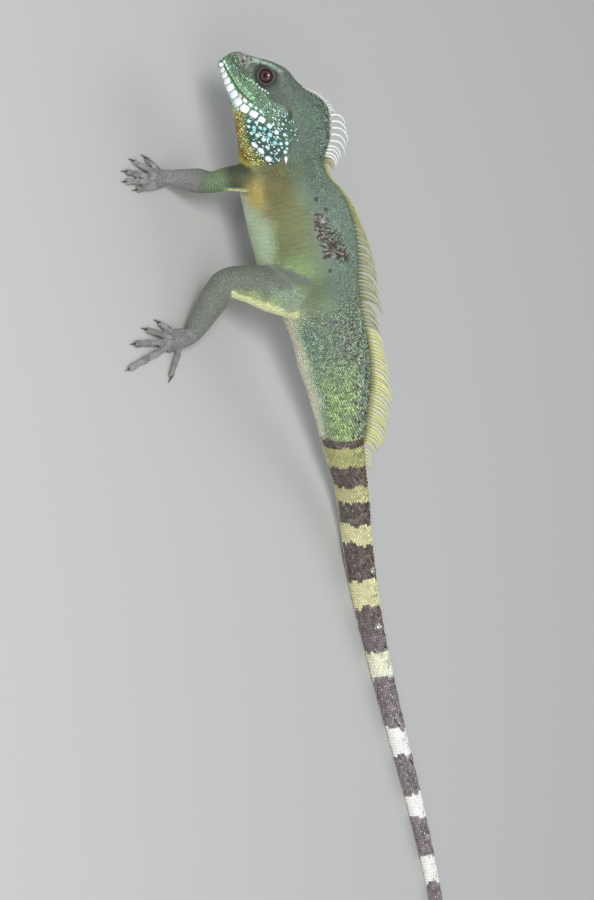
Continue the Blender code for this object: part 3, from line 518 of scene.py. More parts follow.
def smooth(rows, place):
    """A smooth curve through rows, read at a place counted in rows. Each row is a tuple of numbers."""
    last = len(rows) - 1
    i = int(min(max(math.floor(place), 0), last - 1))
    t = place - i
    p1 = np.array(rows[i], float)
    p2 = np.array(rows[i + 1], float)
    p0 = np.array(rows[i - 1], float) if i > 0 else 2 * p1 - p2
    p3 = np.array(rows[i + 2], float) if i + 2 <= last else 2 * p2 - p1
    before = max(np.linalg.norm((p1 - p0)[:3]), 1e-6)
    here = max(np.linalg.norm((p2 - p1)[:3]), 1e-6)
    after = max(np.linalg.norm((p3 - p2)[:3]), 1e-6)
    m1 = ((p1 - p0) / before * here + (p2 - p1) / here * before) / (before + here) * here
    m2 = ((p2 - p1) / here * after + (p3 - p2) / after * here) / (here + after) * here
    h00 = 2 * t**3 - 3 * t**2 + 1
    h10 = t**3 - 2 * t**2 + t
    h01 = -2 * t**3 + 3 * t**2
    h11 = t**3 - t**2
    return h00 * p1 + h10 * m1 + h01 * p2 + h11 * m2


def unit(vectors):
    return vectors / np.maximum(np.linalg.norm(vectors, axis=-1, keepdims=True), 1e-9)


def ease(value, start, end):
    """0 before start, 1 after end, and smooth between."""
    share = np.clip((value - start) / (end - start), 0, 1)
    return share * share * (3 - 2 * share)


def hump(value, width):
    """1 where a value is 0, falling off to both sides over a width."""
    return np.exp(-((value / width) ** 2))


def lengths_along(points):
    """How far each point of a chain is from its first, measured along it."""
    return np.concatenate([[0], np.cumsum(np.linalg.norm(np.diff(points, axis=0), axis=1))])


def read_rows(at, known, rows):
    """Rows of three numbers, read between the known values they belong to."""
    return np.stack([np.interp(at, known, rows[:, c]) for c in range(3)], -1)


def from_ridge(turn):
    """Degrees down from the ridge of the back, 180 at the middle of the belly."""
    return np.minimum(turn, 360 - turn)


def axes_of(along, roll):
    """Left and up beside a direction that runs backwards, leaning to the right by roll degrees."""
    up = unit(np.array(UP) - along * along[2])
    left = np.cross(along, up)
    turn = math.radians(roll)
    return math.cos(turn) * left + math.sin(turn) * up, math.cos(turn) * up - math.sin(turn) * left


def body_frame(place):
    """The station's values at a place, with the directions along, left and up."""
    here = smooth(STATIONS, place)
    along = unit((smooth(STATIONS, place + 0.02) - smooth(STATIONS, place - 0.02))[:3])
    left, up = axes_of(along, here[7])
    return here, along, left, up


def head_axes():
    yaw = math.radians(HEAD_YAW)
    pitch = math.radians(HEAD_PITCH)
    back = np.array([math.cos(pitch) * math.cos(yaw), math.cos(pitch) * math.sin(yaw), math.sin(pitch)])
    left, up = axes_of(back, HEAD_ROLL)
    return back, left, up


HEAD_BACK, HEAD_LEFT, HEAD_TOP = head_axes()


def on_head(back, side, up):
    """A point of the head."""
    return np.array(SNOUT_TIP) + HEAD_BACK * back + HEAD_LEFT * side + HEAD_TOP * up


def head_place(points):
    """Back, side and up in the head's axes."""
    away = points - np.array(SNOUT_TIP)
    return away @ HEAD_BACK, away @ HEAD_LEFT, away @ HEAD_TOP


def own_shift():
    """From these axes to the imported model's."""
    low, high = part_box("eye_left")
    shift = (np.array(low) + np.array(high)) / 2 - on_head(EYE_BACK, EYE_SIDE, EYE_UP) * MM
    shift[2] = 0.0
    return shift


SHIFT = own_shift()
TABLE = np.random.default_rng(5).random(8192)


def cloud(points, size, seed=0):
    """Smooth noise from -1 to 1 whose lumps are about size across."""
    at = points / size + seed * 17.3
    cell = np.floor(at).astype(np.int64)
    f = at - cell
    f = f * f * (3 - 2 * f)
    total = np.zeros(len(points))
    for corner in range(8):
        step = np.array([corner & 1, corner >> 1 & 1, corner >> 2 & 1])
        key = (cell + step) @ np.array([73856093, 19349663, 83492791])
        weight = np.prod(np.where(step, f, 1 - f), axis=1)
        total += TABLE[key & 8191] * weight
    return total * 2 - 1


class Loft:
    """A closed tube of rings of points, with each ring's place and each point's turn in degrees."""

    def __init__(self, name, rings, places):
        self.name = name
        self.rings = np.array(rings)
        self.places = np.array(places, float)
        self.sides = self.rings.shape[1]
        self.turns = np.arange(self.sides) * 360 / self.sides
        self.middles = self.rings.mean(axis=1)
        self.run = lengths_along(self.middles)

    def points(self):
        return self.rings.reshape(-1, 3)

    def faces(self, start):
        count = len(self.rings)
        i, j = np.meshgrid(np.arange(count - 1), np.arange(self.sides), indexing="ij")
        k = (j + 1) % self.sides
        here = i * self.sides
        ahead = (i + 1) * self.sides
        quads = np.stack([here + j, here + k, ahead + k, ahead + j], -1)
        faces = (quads.reshape(-1, 4) + start).tolist()
        faces.append([start + k for k in reversed(range(self.sides))])
        faces.append([start + (count - 1) * self.sides + k for k in range(self.sides)])
        return faces

    def lattice(self, length, width, stray_share):
        """Staggered spots in rows round the tube: point, way along it, place, turn, step and gap of each."""
        reach = 0.0
        found = []
        row = 0
        while reach < self.run[-1]:
            place = float(np.interp(reach, self.run, self.places))
            step = length(place)
            gap = width(place)
            stray = stray_share(place)
            k = int(np.clip(np.searchsorted(self.run, reach) - 1, 0, len(self.run) - 2))
            share = (reach - self.run[k]) / (self.run[k + 1] - self.run[k])
            ring = self.rings[k] * (1 - share) + self.rings[k + 1] * share
            way = unit(self.rings[k + 1] - self.rings[k])
            closed = np.vstack([ring, ring[:1]])
            around = lengths_along(closed)
            half = around[-1] / 2
            count = int(half / gap) + 1
            spots = (np.arange(-count, count + 1) + 0.5 * (row % 2)) * gap
            spots = spots[np.abs(spots) < half - 0.35 * gap]
            n = len(spots)
            spots = (spots + RANDOM.normal(0, stray, n) * gap) % around[-1]
            ways = np.vstack([way, way[:1]])
            ways = read_rows(spots, around, ways)
            here = read_rows(spots, around, closed)
            here = here + ways * RANDOM.normal(0, stray, (n, 1)) * step
            turn = np.interp(spots, around, np.append(self.turns, 360.0))
            values = [np.full(n, place), turn, np.full(n, step), np.full(n, gap)]
            found.append(np.column_stack([here, ways, *values]))
            reach += step
            row += 1
        return np.vstack(found)


def body_loft():
    turns = np.arange(BODY_SIDES) * 2 * math.pi / BODY_SIDES
    c = np.cos(turns)
    s = np.sin(turns)
    fine = np.linspace(0, len(STATIONS) - 1, 900)
    middles = np.array([smooth(STATIONS, p)[:3] for p in fine])
    run = lengths_along(middles)
    places = np.interp(np.arange(0, run[-1], BODY_STEP), run, fine)
    rings = []
    for place in places:
        here, _, left, up = body_frame(place)
        top, bottom, half_width, peak = here[3:7]
        side = np.sign(s) * np.abs(s) ** np.where(c > 0, 2 / peak, 0.92) * half_width
        rise = np.where(c > 0, c * top, -(np.abs(c) ** 0.95) * bottom)
        rings.append(here[:3] + side[:, None] * left + rise[:, None] * up)
    return Loft("body", rings, places)


def head_ring(place):
    """The points round the head at a place counted in HEAD_SECTIONS."""
    rows = [(s[0], 0.0, 0.0, *s[1:]) for s in HEAD_SECTIONS]
    sec = smooth(rows, place)[[0, *range(3, 13)]]
    left = [(sec[2], sec[3]), (sec[4], sec[5]), (sec[6], sec[7]), (sec[8], sec[9])]
    rails = np.array([(0.0, sec[1]), *left, (0.0, sec[10]), *[(-y, z) for y, z in reversed(left)]])
    count = len(rails)
    ring = []
    for i in range(count):
        p0, p1, p2, p3 = (rails[(i + k) % count] for k in (-1, 0, 1, 2))
        for t in np.arange(HEAD_STEPS) / HEAD_STEPS:
            bend = (2 * p0 - 5 * p1 + 4 * p2 - p3) * t**2 + (3 * p1 - p0 - 3 * p2 + p3) * t**3
            y, z = 0.5 * (2 * p1 + (p2 - p0) * t + bend)
            ring.append(on_head(sec[0], y, z))
    return ring


def head_loft():
    places = np.linspace(0, len(HEAD_SECTIONS) - 1, HEAD_RINGS)
    return Loft("head", [head_ring(place) for place in places], places)


def ring_of(middle, sideways, upright, sides):
    turns = np.arange(sides) * 2 * math.pi / sides
    return middle + np.outer(np.cos(turns), sideways) + np.outer(np.sin(turns), upright)


def limb_frame(joints, place):
    """Middle, radius, direction along, level sideways and upright at a place counted in a leg's joints."""
    here = smooth(joints, place)
    along = unit((smooth(joints, place + 0.02) - smooth(joints, place - 0.02))[:3])
    level = unit(np.cross(along, UP))
    return here[:3], here[3], along, level, np.cross(level, along)


def limb_loft(leg):
    places = np.linspace(0, len(leg.joints) - 1, LIMB_RINGS)
    rings = []
    for place in places:
        middle, radius, _, level, upright = limb_frame(leg.joints, place)
        rings.append(ring_of(middle, level * radius, upright * radius, LIMB_SIDES))
    return Loft(f"{leg.name}_{leg.side}", rings, places)


def paw_axes(leg):
    heading = math.radians(leg.heading)
    way = np.array([math.cos(heading), math.sin(heading), 0.0])
    return way, np.array([way[1], -way[0], 0.0]) * leg.first_side


def sole_loft(leg):
    """The palm or sole, from the wrist or ankle to the roots of the digits."""
    wrist = np.array(leg.joints[-1][:3])
    radius = leg.joints[-1][3]
    lead = limb_frame(leg.joints, len(leg.joints) - 1.02)[2]
    way, _ = paw_axes(leg)
    sole = leg.sole
    profile = [
        (0.0, radius, radius, wrist[2]),
        (0.35, radius * 1.1, radius * 0.9, wrist[2] * 0.72),
        (0.75, sole.half_width, sole.half_height, sole.half_height - FLOOR_SINK),
        (1.0, sole.half_width * 0.92, sole.half_height * 0.8, sole.half_height * 0.8 - FLOOR_SINK),
        (1.1, sole.half_width * 0.6, sole.half_height * 0.5, sole.half_height * 0.7 - FLOOR_SINK),
    ]
    rows = [(row[0] * sole.length, 0, 0, *row[1:]) for row in profile]
    rings = []
    places = np.linspace(0, len(profile) - 1, SOLE_RINGS)
    for place in places:
        ahead, _, _, half_width, half_height, height = smooth(rows, place)
        turned = min(ahead / sole.length / 0.35, 1.0)
        along = unit(lead * (1 - turned) + way * turned)
        level = unit(np.cross(along, UP))
        middle = wrist + way * ahead
        middle[2] = height
        rings.append(ring_of(middle, level * half_width, np.cross(level, along) * half_height, SOLE_SIDES))
    return Loft(f"{leg.name}_{leg.side}_sole", rings, places)


def digit_root(leg, i):
    """Where a digit starts and the way it points."""
    size = leg.digits[i]
    way, across = paw_axes(leg)
    wrist = np.array(leg.joints[-1][:3])
    base = wrist + way * (leg.sole.length - size.set_back) + across * leg.sole.half_width * (0.8 - 0.4 * i)
    heading = math.radians(leg.heading) - leg.first_side * math.radians(size.turn)
    return base, np.array([math.cos(heading), math.sin(heading), 0.0])


def digit_loft(leg, i):
    size = leg.digits[i]
    base, way = digit_root(leg, i)
    finger = size.length - CLAW
    r = size.radius
    shape = [
        (-0.25, r + 1.2, r),
        (0.0, r + 1.4, r),
        (0.3, r + 1.9, r * 0.97),
        (0.55, r + 0.8, r * 1.0),
        (0.8, r - FLOOR_SINK + 0.1, r * 0.97),
        (0.97, r - FLOOR_SINK + 0.1, r * 0.93),
        (1.04, r * 0.95 - FLOOR_SINK + 0.2, r * 0.6),
    ]
    knots = [(*(base + way * finger * share)[:2], height, radius) for share, height, radius in shape]
    places = np.linspace(0, len(knots) - 1, DIGIT_RINGS)
    rings = []
    for place in places:
        middle, radius, _, level, upright = limb_frame(knots, place)
        share = np.interp(place, range(len(shape)), [row[0] for row in shape])
        swell = 1 + 0.12 * sum(math.exp(-(((share - joint) / 0.08) ** 2)) for joint in (0.3, 0.62, 0.93))
        rings.append(ring_of(middle, level * radius * swell, upright * radius * swell, DIGIT_SIDES))
    return Loft(f"{leg.name}_{leg.side}_digit_{i + 1}", rings, places)


def ball_loft(name, middle, radius, axis, across):
    """A ball as rings round an axis."""
    third = np.cross(axis, across)
    places = np.linspace(0.06, math.pi - 0.06, BALL_RINGS)
    rings = []
    for tilt in places:
        flat = radius * math.sin(tilt)
        centre = middle + axis * radius * math.cos(tilt)
        rings.append(ring_of(centre, across * flat, third * flat, BALL_SIDES))
    return Loft(name, rings, places)


def eye_middle(side):
    return on_head(EYE_BACK, side * EYE_SIDE, EYE_UP)


def tree_of(points):
    tree = KDTree(len(points))
    for i, point in enumerate(points):
        tree.insert(point, i)
    tree.balance()
    return tree


def nearest(tree, points):
    """The number of the tree's point that is nearest to each point."""
    return np.array([tree.find(p)[1] for p in points])


def in_scene(name, data):
    """An object of the scene that shows a mesh, a lamp or a camera."""
    obj = bpy.data.objects.new(name, data)
    bpy.context.scene.collection.objects.link(obj)
    return obj


def face_outwards(mesh):
    """Turns the faces of closed shells to look outwards."""
    bm = bmesh.new()
    bm.from_mesh(mesh)
    bmesh.ops.recalc_face_normals(bm, faces=bm.faces)
    bm.to_mesh(mesh)
    bm.free()


def remeshed(points, faces):
    """The corners and quads of one even mesh round closed shells."""
    mesh = bpy.data.meshes.new("rough")
    mesh.from_pydata(points * MM + SHIFT, [], faces)
    rough = in_scene("rough", mesh)
    face_outwards(mesh)
    modifier = rough.modifiers.new("fuse", "REMESH")
    modifier.mode = "VOXEL"
    modifier.voxel_size = VOXEL * MM
    graph = bpy.context.evaluated_depsgraph_get()
    mesh = bpy.data.meshes.new_from_object(rough.evaluated_get(graph))
    bpy.data.objects.remove(rough)
    corners = np.zeros(len(mesh.vertices) * 3)
    mesh.vertices.foreach_get("co", corners)
    quads = np.zeros(len(mesh.loops), np.int64)
    mesh.loops.foreach_get("vertex_index", quads)
    return corners.reshape(-1, 3), quads.reshape(-1, 4)


def islands(count, quads):
    """For each of count points, the lowest number among the points it is joined to."""
    island = np.arange(count)
    while True:
        low = island[quads].min(axis=1)
        merged = island.copy()
        np.minimum.at(merged, quads.ravel(), np.repeat(low, 4))
        merged = merged[merged]
        if (merged == island).all():
            return island
        island = merged


def fused(lofts):
    """One quad mesh round all the lofts: points and faces, without inner scraps."""
    points = []
    faces = []
    for loft in lofts:
        faces += loft.faces(sum(len(p) for p in points))
        points.append(loft.points())
    corners, quads = remeshed(np.vstack(points), faces)
    island = islands(len(corners), quads)
    main = np.bincount(island).argmax()
    quads = quads[island[quads[:, 0]] == main]
    used = np.unique(quads)
    renumbered = np.zeros(len(island), np.int64)
    renumbered[used] = np.arange(len(used))
    return (corners[used] - SHIFT) / MM, renumbered[quads]


def links(quads):
    """Each pair of joined points, both ways round."""
    pairs = np.vstack([quads[:, [0, 1]], quads[:, [1, 2]], quads[:, [2, 3]], quads[:, [3, 0]]])
    return np.vstack([pairs, pairs[:, ::-1]])


def summed(numbers, values, count):
    """The sums of the columns of values over the rows that have the same number."""
    return np.stack([np.bincount(numbers, weights=column, minlength=count) for column in values.T], -1)


def average(values, pairs):
    """The mean of each point's neighbours."""
    count = np.maximum(np.bincount(pairs[:, 0], minlength=len(values)), 1)
    return summed(pairs[:, 0], values[pairs[:, 1]], len(values)) / count[:, None]


def normals_of(points, quads):
    a, b, c, d = (points[quads[:, k]] for k in range(4))
    flat = np.cross(c - a, d - b)
    return unit(summed(quads.ravel(), np.repeat(flat, 4, axis=0), len(points)))


class Skin:
    """The fused skin with what each of its points belongs to."""

    def __init__(self, lofts):
        self.points, self.quads = fused(lofts)
        self.pairs = links(self.quads)
        self.lofts = {loft.name: loft for loft in lofts if not loft.name.startswith("lid")}
        for _ in range(SMOOTH_ROUNDS):
            self.points += 0.5 * (average(self.points, self.pairs) - self.points)
            self.points -= 0.51 * (average(self.points, self.pairs) - self.points)
        self.find_owners()
        self.soften_joins()
        self.normals = normals_of(self.points, self.quads)

    def find_owners(self):
        """The nearest loft of each point, its place and turn there, and how far the next loft is."""
        count = len(self.points)
        self.owner = np.full(count, -1)
        self.place = np.zeros(count)
        self.turn = np.zeros(count)
        self.nearest = np.full(count, FAR_OFF)
        self.second = np.full(count, FAR_OFF)
        self.to_limb = np.full(count, FAR_OFF)
        self.names = list(self.lofts)
        for number, loft in enumerate(self.lofts.values()):
            low = loft.points().min(axis=0) - SEARCH_MARGIN
            high = loft.points().max(axis=0) + SEARCH_MARGIN
            inside = ((self.points > low) & (self.points < high)).all(axis=1)
            tree = tree_of(loft.points())
            joins = "digit" not in loft.name
            limb = loft.name.count("_") == 1
            for i in np.flatnonzero(inside):
                _, k, far = tree.find(self.points[i])
                if far < self.nearest[i]:
                    if joins:
                        self.second[i] = min(self.second[i], self.nearest[i])
                    self.nearest[i] = far
                    self.owner[i] = number
                    self.place[i] = k
                elif joins:
                    self.second[i] = min(self.second[i], far)
                if limb:
                    self.to_limb[i] = min(self.to_limb[i], far)
        self.place_between_rings()

    def place_between_rings(self):
        """Turns each point's nearest spot of its loft into a place and a turn."""
        for number, loft in enumerate(self.lofts.values()):
            mine = np.flatnonzero(self.owner == number)
            spot = self.place[mine].astype(int)
            ring, side = np.divmod(spot, loft.sides)
            step = np.clip(ring, 0, len(loft.rings) - 2)
            forward = loft.middles[step + 1] - loft.middles[step]
            places = np.maximum(loft.places[step + 1] - loft.places[step], 1e-9)
            per_place = np.linalg.norm(forward, axis=1) / places
            ahead = ((self.points[mine] - loft.points()[spot]) * unit(forward)).sum(axis=1)
            self.place[mine] = loft.places[ring] + ahead / per_place
            self.turn[mine] = loft.turns[side]

    def join_weight(self):
        """1 where a point's two nearest lofts meet, falling off from there."""
        return hump(self.second, JOIN_WIDTH)[:, None]

    def soften_joins(self):
        """Fillets where one loft runs into another."""
        weight = self.join_weight()
        for _ in range(FILLET_ROUNDS):
            self.points += 0.5 * weight * (average(self.points, self.pairs) - self.points)

    def owned(self, *names):
        return np.isin(self.owner, [k for k, name in enumerate(self.names) if name in names])

    def push(self, depth):
        """Moves the points out along the normals."""
        self.points += self.normals * depth[:, None]


def mouth_height(back):
    return np.interp(back, MOUTH_BACKS, MOUTH_UPS)


def ear_distance(back, up):
    """How far a place on the side of the head is from the slit of the ear, in half widths of it."""
    along = (back - EAR[0]) * 0.86 - (up - EAR[1]) * 0.5
    across = (back - EAR[0]) * 0.5 + (up - EAR[1]) * 0.86
    return np.hypot(along / 3.6, across / 1.3)


def brow_height(back):
    return np.interp(back, BROW_BACKS, BROW_UPS)


def jaw_line(back):
    return np.interp(back, JAW_BACKS, JAW_UPS)


def rear_edge(back):
    return np.interp(back, REAR_BACKS, REAR_UPS)


def throat_edge(back):
    return np.interp(back, THROAT_BACKS, THROAT_UPS)


def from_nostril(back, up):
    return np.hypot(back - NOSTRIL[0], up - NOSTRIL[1])


def carve_head(skin):
    """The line of the mouth, lips, brow, nostrils, ears and eye sockets."""
    back, side, up = head_place(skin.points)
    head = skin.owned("head")
    front = head & (back < 60)
    drop = up - mouth_height(back)
    fade = ease(back, MOUTH_CORNER + 1.5, MOUTH_CORNER - 2)
    depth = -0.75 * hump(drop, 0.65) * fade
    depth += 0.35 * hump(np.abs(drop) - 1.7, 1.0) * fade
    depth += 1.15 * hump(up - brow_height(back), 1.7) * ease(back, 8, 18) * ease(back, 42, 30)
    skin.push(np.where(front, depth, 0))
    for flank in (1, -1):
        beside = side * flank > 2
        far = from_nostril(back, up)
        pit = -1.3 * ease(far, 1.5, 0.5) + 0.45 * hump(far - 2.2, 0.7)
        pit += -1.5 * ease(ear_distance(back, up), 1.2, 0.5)
        skin.push(np.where(head & beside, pit, 0))
        sink_socket(skin, flank)
    skin.normals = normals_of(skin.points, skin.quads)


def sink_socket(skin, flank):
    """Draws the skin in behind an eye and its lids."""
    away = skin.points - eye_middle(flank)
    far = np.linalg.norm(away, axis=1)
    tilt = np.degrees(np.arccos(np.clip(away @ HEAD_LEFT * flank / np.maximum(far, 1e-6), -1, 1)))
    floor = 6.2 + 2.9 * ease(tilt, 38, 47)
    sunk = (far < 13) & (tilt < 60) & (far > floor)
    skin.points[sunk] = eye_middle(flank) + away[sunk] * (floor[sunk] / far[sunk])[:, None]


def crease_body(skin):
    """Soft folds, wrinkles across the flank and round the roots of the legs, and the uneven scar."""
    points = skin.points
    place = skin.place
    low = from_ridge(skin.turn)
    lumps = 0.35 * cloud(points, 11, 1) + 0.12 * cloud(points, 4, 2)
    folds = 0.12 * np.sin(skin.to_limb * 2 * math.pi / 3.4) * hump(skin.to_limb, 7)
    lobe = 0.22 * np.sin(place * 22 + skin.turn * 0.03 + 2 * cloud(points, 14, 3)) * (place < 3.2)
    run = np.interp(place, skin.lofts["body"].places, skin.lofts["body"].run)
    waves = np.sin(run * 2 * math.pi / 3.1 + 3.5 * cloud(points, 12, 17))
    waves = waves * ease(cloud(points, 9, 18), -0.3, 0.3)
    wrinkle = 0.14 * waves * ease(low, 55, 75) * (place > 3) * (place < 7)
    off_crease = np.abs(skin.turn - 104 - 3 * np.sin(run / 4)) * 0.42
    crease = -0.5 * hump(off_crease, 0.9) * ease(place, 5.3, 5.45) * ease(place, 5.85, 5.7)
    rings = 0.16 * np.cos(place * 2 * math.pi * 3.5) * (place > 10) * (place < 21)
    scar = 0.45 * cloud(points, 2.4, 4) * scar_share(points)
    total = lumps * (place < 18) + folds + lobe + wrinkle + crease + rings + scar
    skin.push(np.where(skin.owned("body"), total, 0.15 * cloud(points, 5, 5)))
    skin.points[:, 2] = np.maximum(skin.points[:, 2], 0.05)
    skin.normals = normals_of(skin.points, skin.quads)


def scar_share(points):
    """1 on the rough patch of old hurt skin on the left of the back, 0 away from it."""
    rough = 3.2 * cloud(points, 4.5, 6)
    return ease(off_line(points, SCAR_LINE) + rough + 1.6 * cloud(points, 1.8, 28), 1.2, -1.2)


def paint(colour, name, weight):
    colour += (TONES[name] - colour) * np.clip(weight, 0, 1)[:, None]


def near(points, middle, radius):
    return hump(np.linalg.norm(points - np.array(middle), axis=1), radius)


def body_marks(points, place, turn):
    """Colour of the trunk and tail, the painted shade of the gaps between scales, and how much scales differ.
    """
    # The values that end in _w waver, so that the edges of the marks are uneven.
    low = from_ridge(turn)
    low_w = low + 7 * cloud(points, 16, 7)
    place_w = place + 0.05 * cloud(points, 5, 8)
    tail = ease(place_w, 6.9, 8.0)
    on_bands = ease(place_w, 12.5, 12.75)
    scar = scar_share(points) * (place > 3) * (place < 7)
    colour = np.tile(TONES["back"], (len(points), 1))
    paint_trunk(colour, points, place, turn, low_w, place_w)
    speckled = near(points, (-180, -6, 98), 10) + near(points, (-165, -7, 98), 9)
    paint(colour, "lobe", 0.6 * speckled)
    paint_tail(colour, points, tail, low_w, place_w)
    paint(colour, "stripe", 0.5 * near(points, (-95, -3, 60), 8) * (place > 7))
    paint(colour, "thigh", hip_taper(points))
    dark = paint_bands(colour, points, place, turn, place_w)
    paint(colour, "vent", on_bands * ease(low_w, 128, 150) * 0.6)
    paint_scar(colour, points, place, scar)
    crest_side = ease(low_w, 46, 18) * ease(place, 3.2, 2.4)
    neck = ease(place, 3.4, 2.7) * ease(low_w, 120, 100)
    # gap is the painted shade of the skin between scales and of the scales' roots: 1 leaves the colour as it
    # is, less darkens it.
    gap = 0.86 - 0.3 * ease(low_w, 62, 44) * ease(place, 2.6, 3.4) - 0.25 * crest_side
    gap = gap - 0.46 * tail * (1 - on_bands) - 0.1 * on_bands - 0.1 * scar
    gap = np.clip(gap - 0.15 * dark + 0.3 * (1 - dark) * ease(place_w, 13, 16), 0.3, 1) - 0.14 * neck
    change = 0.05 + 0.14 * ease(low_w, 62, 40) + 0.04 * on_bands + 0.1 * scar
    change = change + 0.24 * tail * (1 - on_bands) * ease(low_w, 124, 100) + 0.18 * crest_side
    change = change + 0.1 * np.clip(speckled, 0, 1) + 0.16 * dark + 0.16 * neck
    fine = np.sin(place * 2 * math.pi / 0.15 + 3 * cloud(points, 12, 31)) * (place > 3) * (place < 7)
    fine = fine * ease(low, 50, 70)
    colour *= (1 + 0.08 * cloud(points, 5, 29) + 0.06 * cloud(points, 2.2, 30) + 0.05 * fine)[:, None]
    return colour, gap, change


def paint_trunk(colour, points, place, turn, low_w, place_w):
    """The green back, the olive flank, the pale belly, the neck and the shoulder."""
    paint(colour, "side", ease(low_w, 48, 70))
    paint(colour, "flank", ease(low_w, 60, 84) * ease(place, 6.2, 5.2))
    paint(colour, "low", ease(low_w, 100, 124))
    paint(colour, "belly", ease(low_w, 140, 160))
    streak = 0.75 + 0.25 * np.sin(turn * 0.9 + 4 * cloud(points, 9, 19))
    green = ease(place_w, 5.35, 5.9) * ease(place_w, 6.9, 6.3) * ease(low_w, 60, 76) * ease(low_w, 122, 104)
    paint(colour, "fern", green * streak)
    lines = np.sin(off_hip(points) * 2 * math.pi / 2.3 + 1.5 * cloud(points, 8, 24))
    paint(colour, "straw", 0.3 * green * ease(lines, 0.3, 0.9) * ease(off_hip(points), 12, 4))
    loin = 0.5 * ease(place_w, 6.1, 6.5) * ease(place_w, 7.3, 6.8)
    paint(colour, "moss", loin * ease(low_w, 44, 60) * ease(low_w, 88, 72))
    paint(colour, "lobe", ease(place_w, 3.3, 2.6))
    paint(colour, "lobe_shade", 0.5 * ease(place_w, 2.6, 1.8) * ease(low_w, 40, 62) * ease(low_w, 100, 80))
    paint(colour, "gular", ease(place_w, 2.9, 2.3) * ease(low_w, 112, 134))
    paint(colour, "olive", near(points, (-193, -18, 78), 13) + 0.9 * near(points, (-180, -19, 73), 13))
    paint(colour, "rust", 0.5 * near(points, (-169, -19, 64), 8))
    shoulder = 0.95 * near(points, (-190, -20, 55), 10)
    paint(colour, "orange", shoulder + 0.8 * near(points, (-180, -20, 57), 8))
    collar = 0.75 * ease(place_w, 2.2, 2.8) * ease(place_w, 3.9, 3.1)
    paint(colour, "moss", collar * ease(low_w, 30, 48) * ease(low_w, 92, 76))


def paint_tail(colour, points, tail, low_w, place_w):
    """The mottled green of the hip and of the tail before its bands."""
    paint(colour, "hip", tail)
    mottle = 0.5 + 0.5 * cloud(points, 7, 9) + 0.7 * cloud(points, 3, 10)
    paint(colour, "tail_grey", tail * ease(low_w, 84, 50) * (1 - mottle) * 0.9)
    leafy = ease(place_w, 8.6, 11.2) * ease(low_w, 24, 60) * ease(low_w, 112, 92)
    paint(colour, "tail_green", leafy * (0.35 + mottle))
    paint(colour, "teal", 0.3 * tail * ease(low_w, 80, 96) * ease(place_w, 10.5, 9.0))
    paint(colour, "low", tail * ease(low_w, 106, 118))
    paint(colour, "vent", tail * ease(low_w, 114, 132))


def paint_bands(colour, points, place, turn, place_w):
    """The dark and pale bands of the tail. Gives back where the dark ones are."""
    low = from_ridge(turn)
    slant = np.sin(np.radians(turn) + 2.2 * cloud(points, 30, 37))
    ragged = place_w + (0.06 * cloud(points, 2.6, 33) + 0.05 * slant) * np.interp(place, [16, 19], [1, 0.4])
    ring = np.searchsorted(BANDS, ragged)
    on_bands = ease(place_w, 12.5, 12.75)
    paint(colour, "pale_near", on_bands)
    paint(colour, "pale_mid", ease(place_w, 13.2, 15.6))
    paint(colour, "pale_far", ease(place_w, 17.3, 19.0))
    paint(colour, "mint", 0.22 * on_bands * (ring == 10) * ease(low, 70, 30))
    dark = (ring % 2 == 1) * on_bands
    paint(colour, "band", dark)
    paint(colour, "band_far", dark * ease(place_w, 16, 19))
    paint(colour, "band_far", 0.6 * dark * ease(low, 24, 60) * ease(cloud(points, 2.4, 35), 0.0, 0.7))
    paint(colour, "brown", 0.3 * dark * ease(low, 40, 20) * ease(place_w, 18, 16))
    for spot in WHITE_SPOTS:
        paint(colour, "pale_far", 0.9 * near(points, spot, 1.8))
    return dark


def paint_scar(colour, points, place, scar):
    """The broken dark lines of the scar, with pale scab between them, and the small dark spots near it."""
    lines = np.sin(place * 50 + 8 * cloud(points, 6, 20)) + 1.1 * cloud(points, 2.2, 21)
    paint(colour, "scab", 0.6 * scar * ease(cloud(points, 4, 25), -0.3, 0.4))
    paint(colour, "scar", 0.95 * scar * ease(lines + 0.5 * ease(place, 4.9, 5.4), 0.0, 0.5))
    paint(colour, "scar", 0.85 * near(points, (-154.5, -7.5, 98.5), 3.0) * (place < 7))
    paint(colour, "blush", 0.8 * near(points, (-155.7, -5.2, 100.4), 1.8))
    for spot in SCAR_SPOTS:
        paint(colour, "scar", 0.9 * ease(np.linalg.norm(points - np.array(spot), axis=1), 2.0, 0.8))


def off_line(points, line):
    """How far points are outside a chain of points with half widths."""
    over = np.full(len(points), FAR_OFF)
    for a, b in zip(np.array(line), np.array(line)[1:]):
        way = b[:3] - a[:3]
        t = np.clip(((points - a[:3]) @ way) / (way @ way), 0, 1)
        far = np.linalg.norm(points - a[:3] - t[:, None] * way, axis=1)
        over = np.minimum(over, far - a[3] - t * (b[3] - a[3]))
    return over


def off_hip(points):
    """How far points are from the wedge of the thigh, on either side of the body."""
    across = points * np.array([1.0, -1.0, 1.0]) + np.array([0.0, 34.0, 0.0])
    return np.minimum(off_line(points, HIP_LINE), off_line(across, HIP_LINE))


def hip_taper(points):
    return ease(off_hip(points) + cloud(points, 5, 22), 2.0, -1.0)


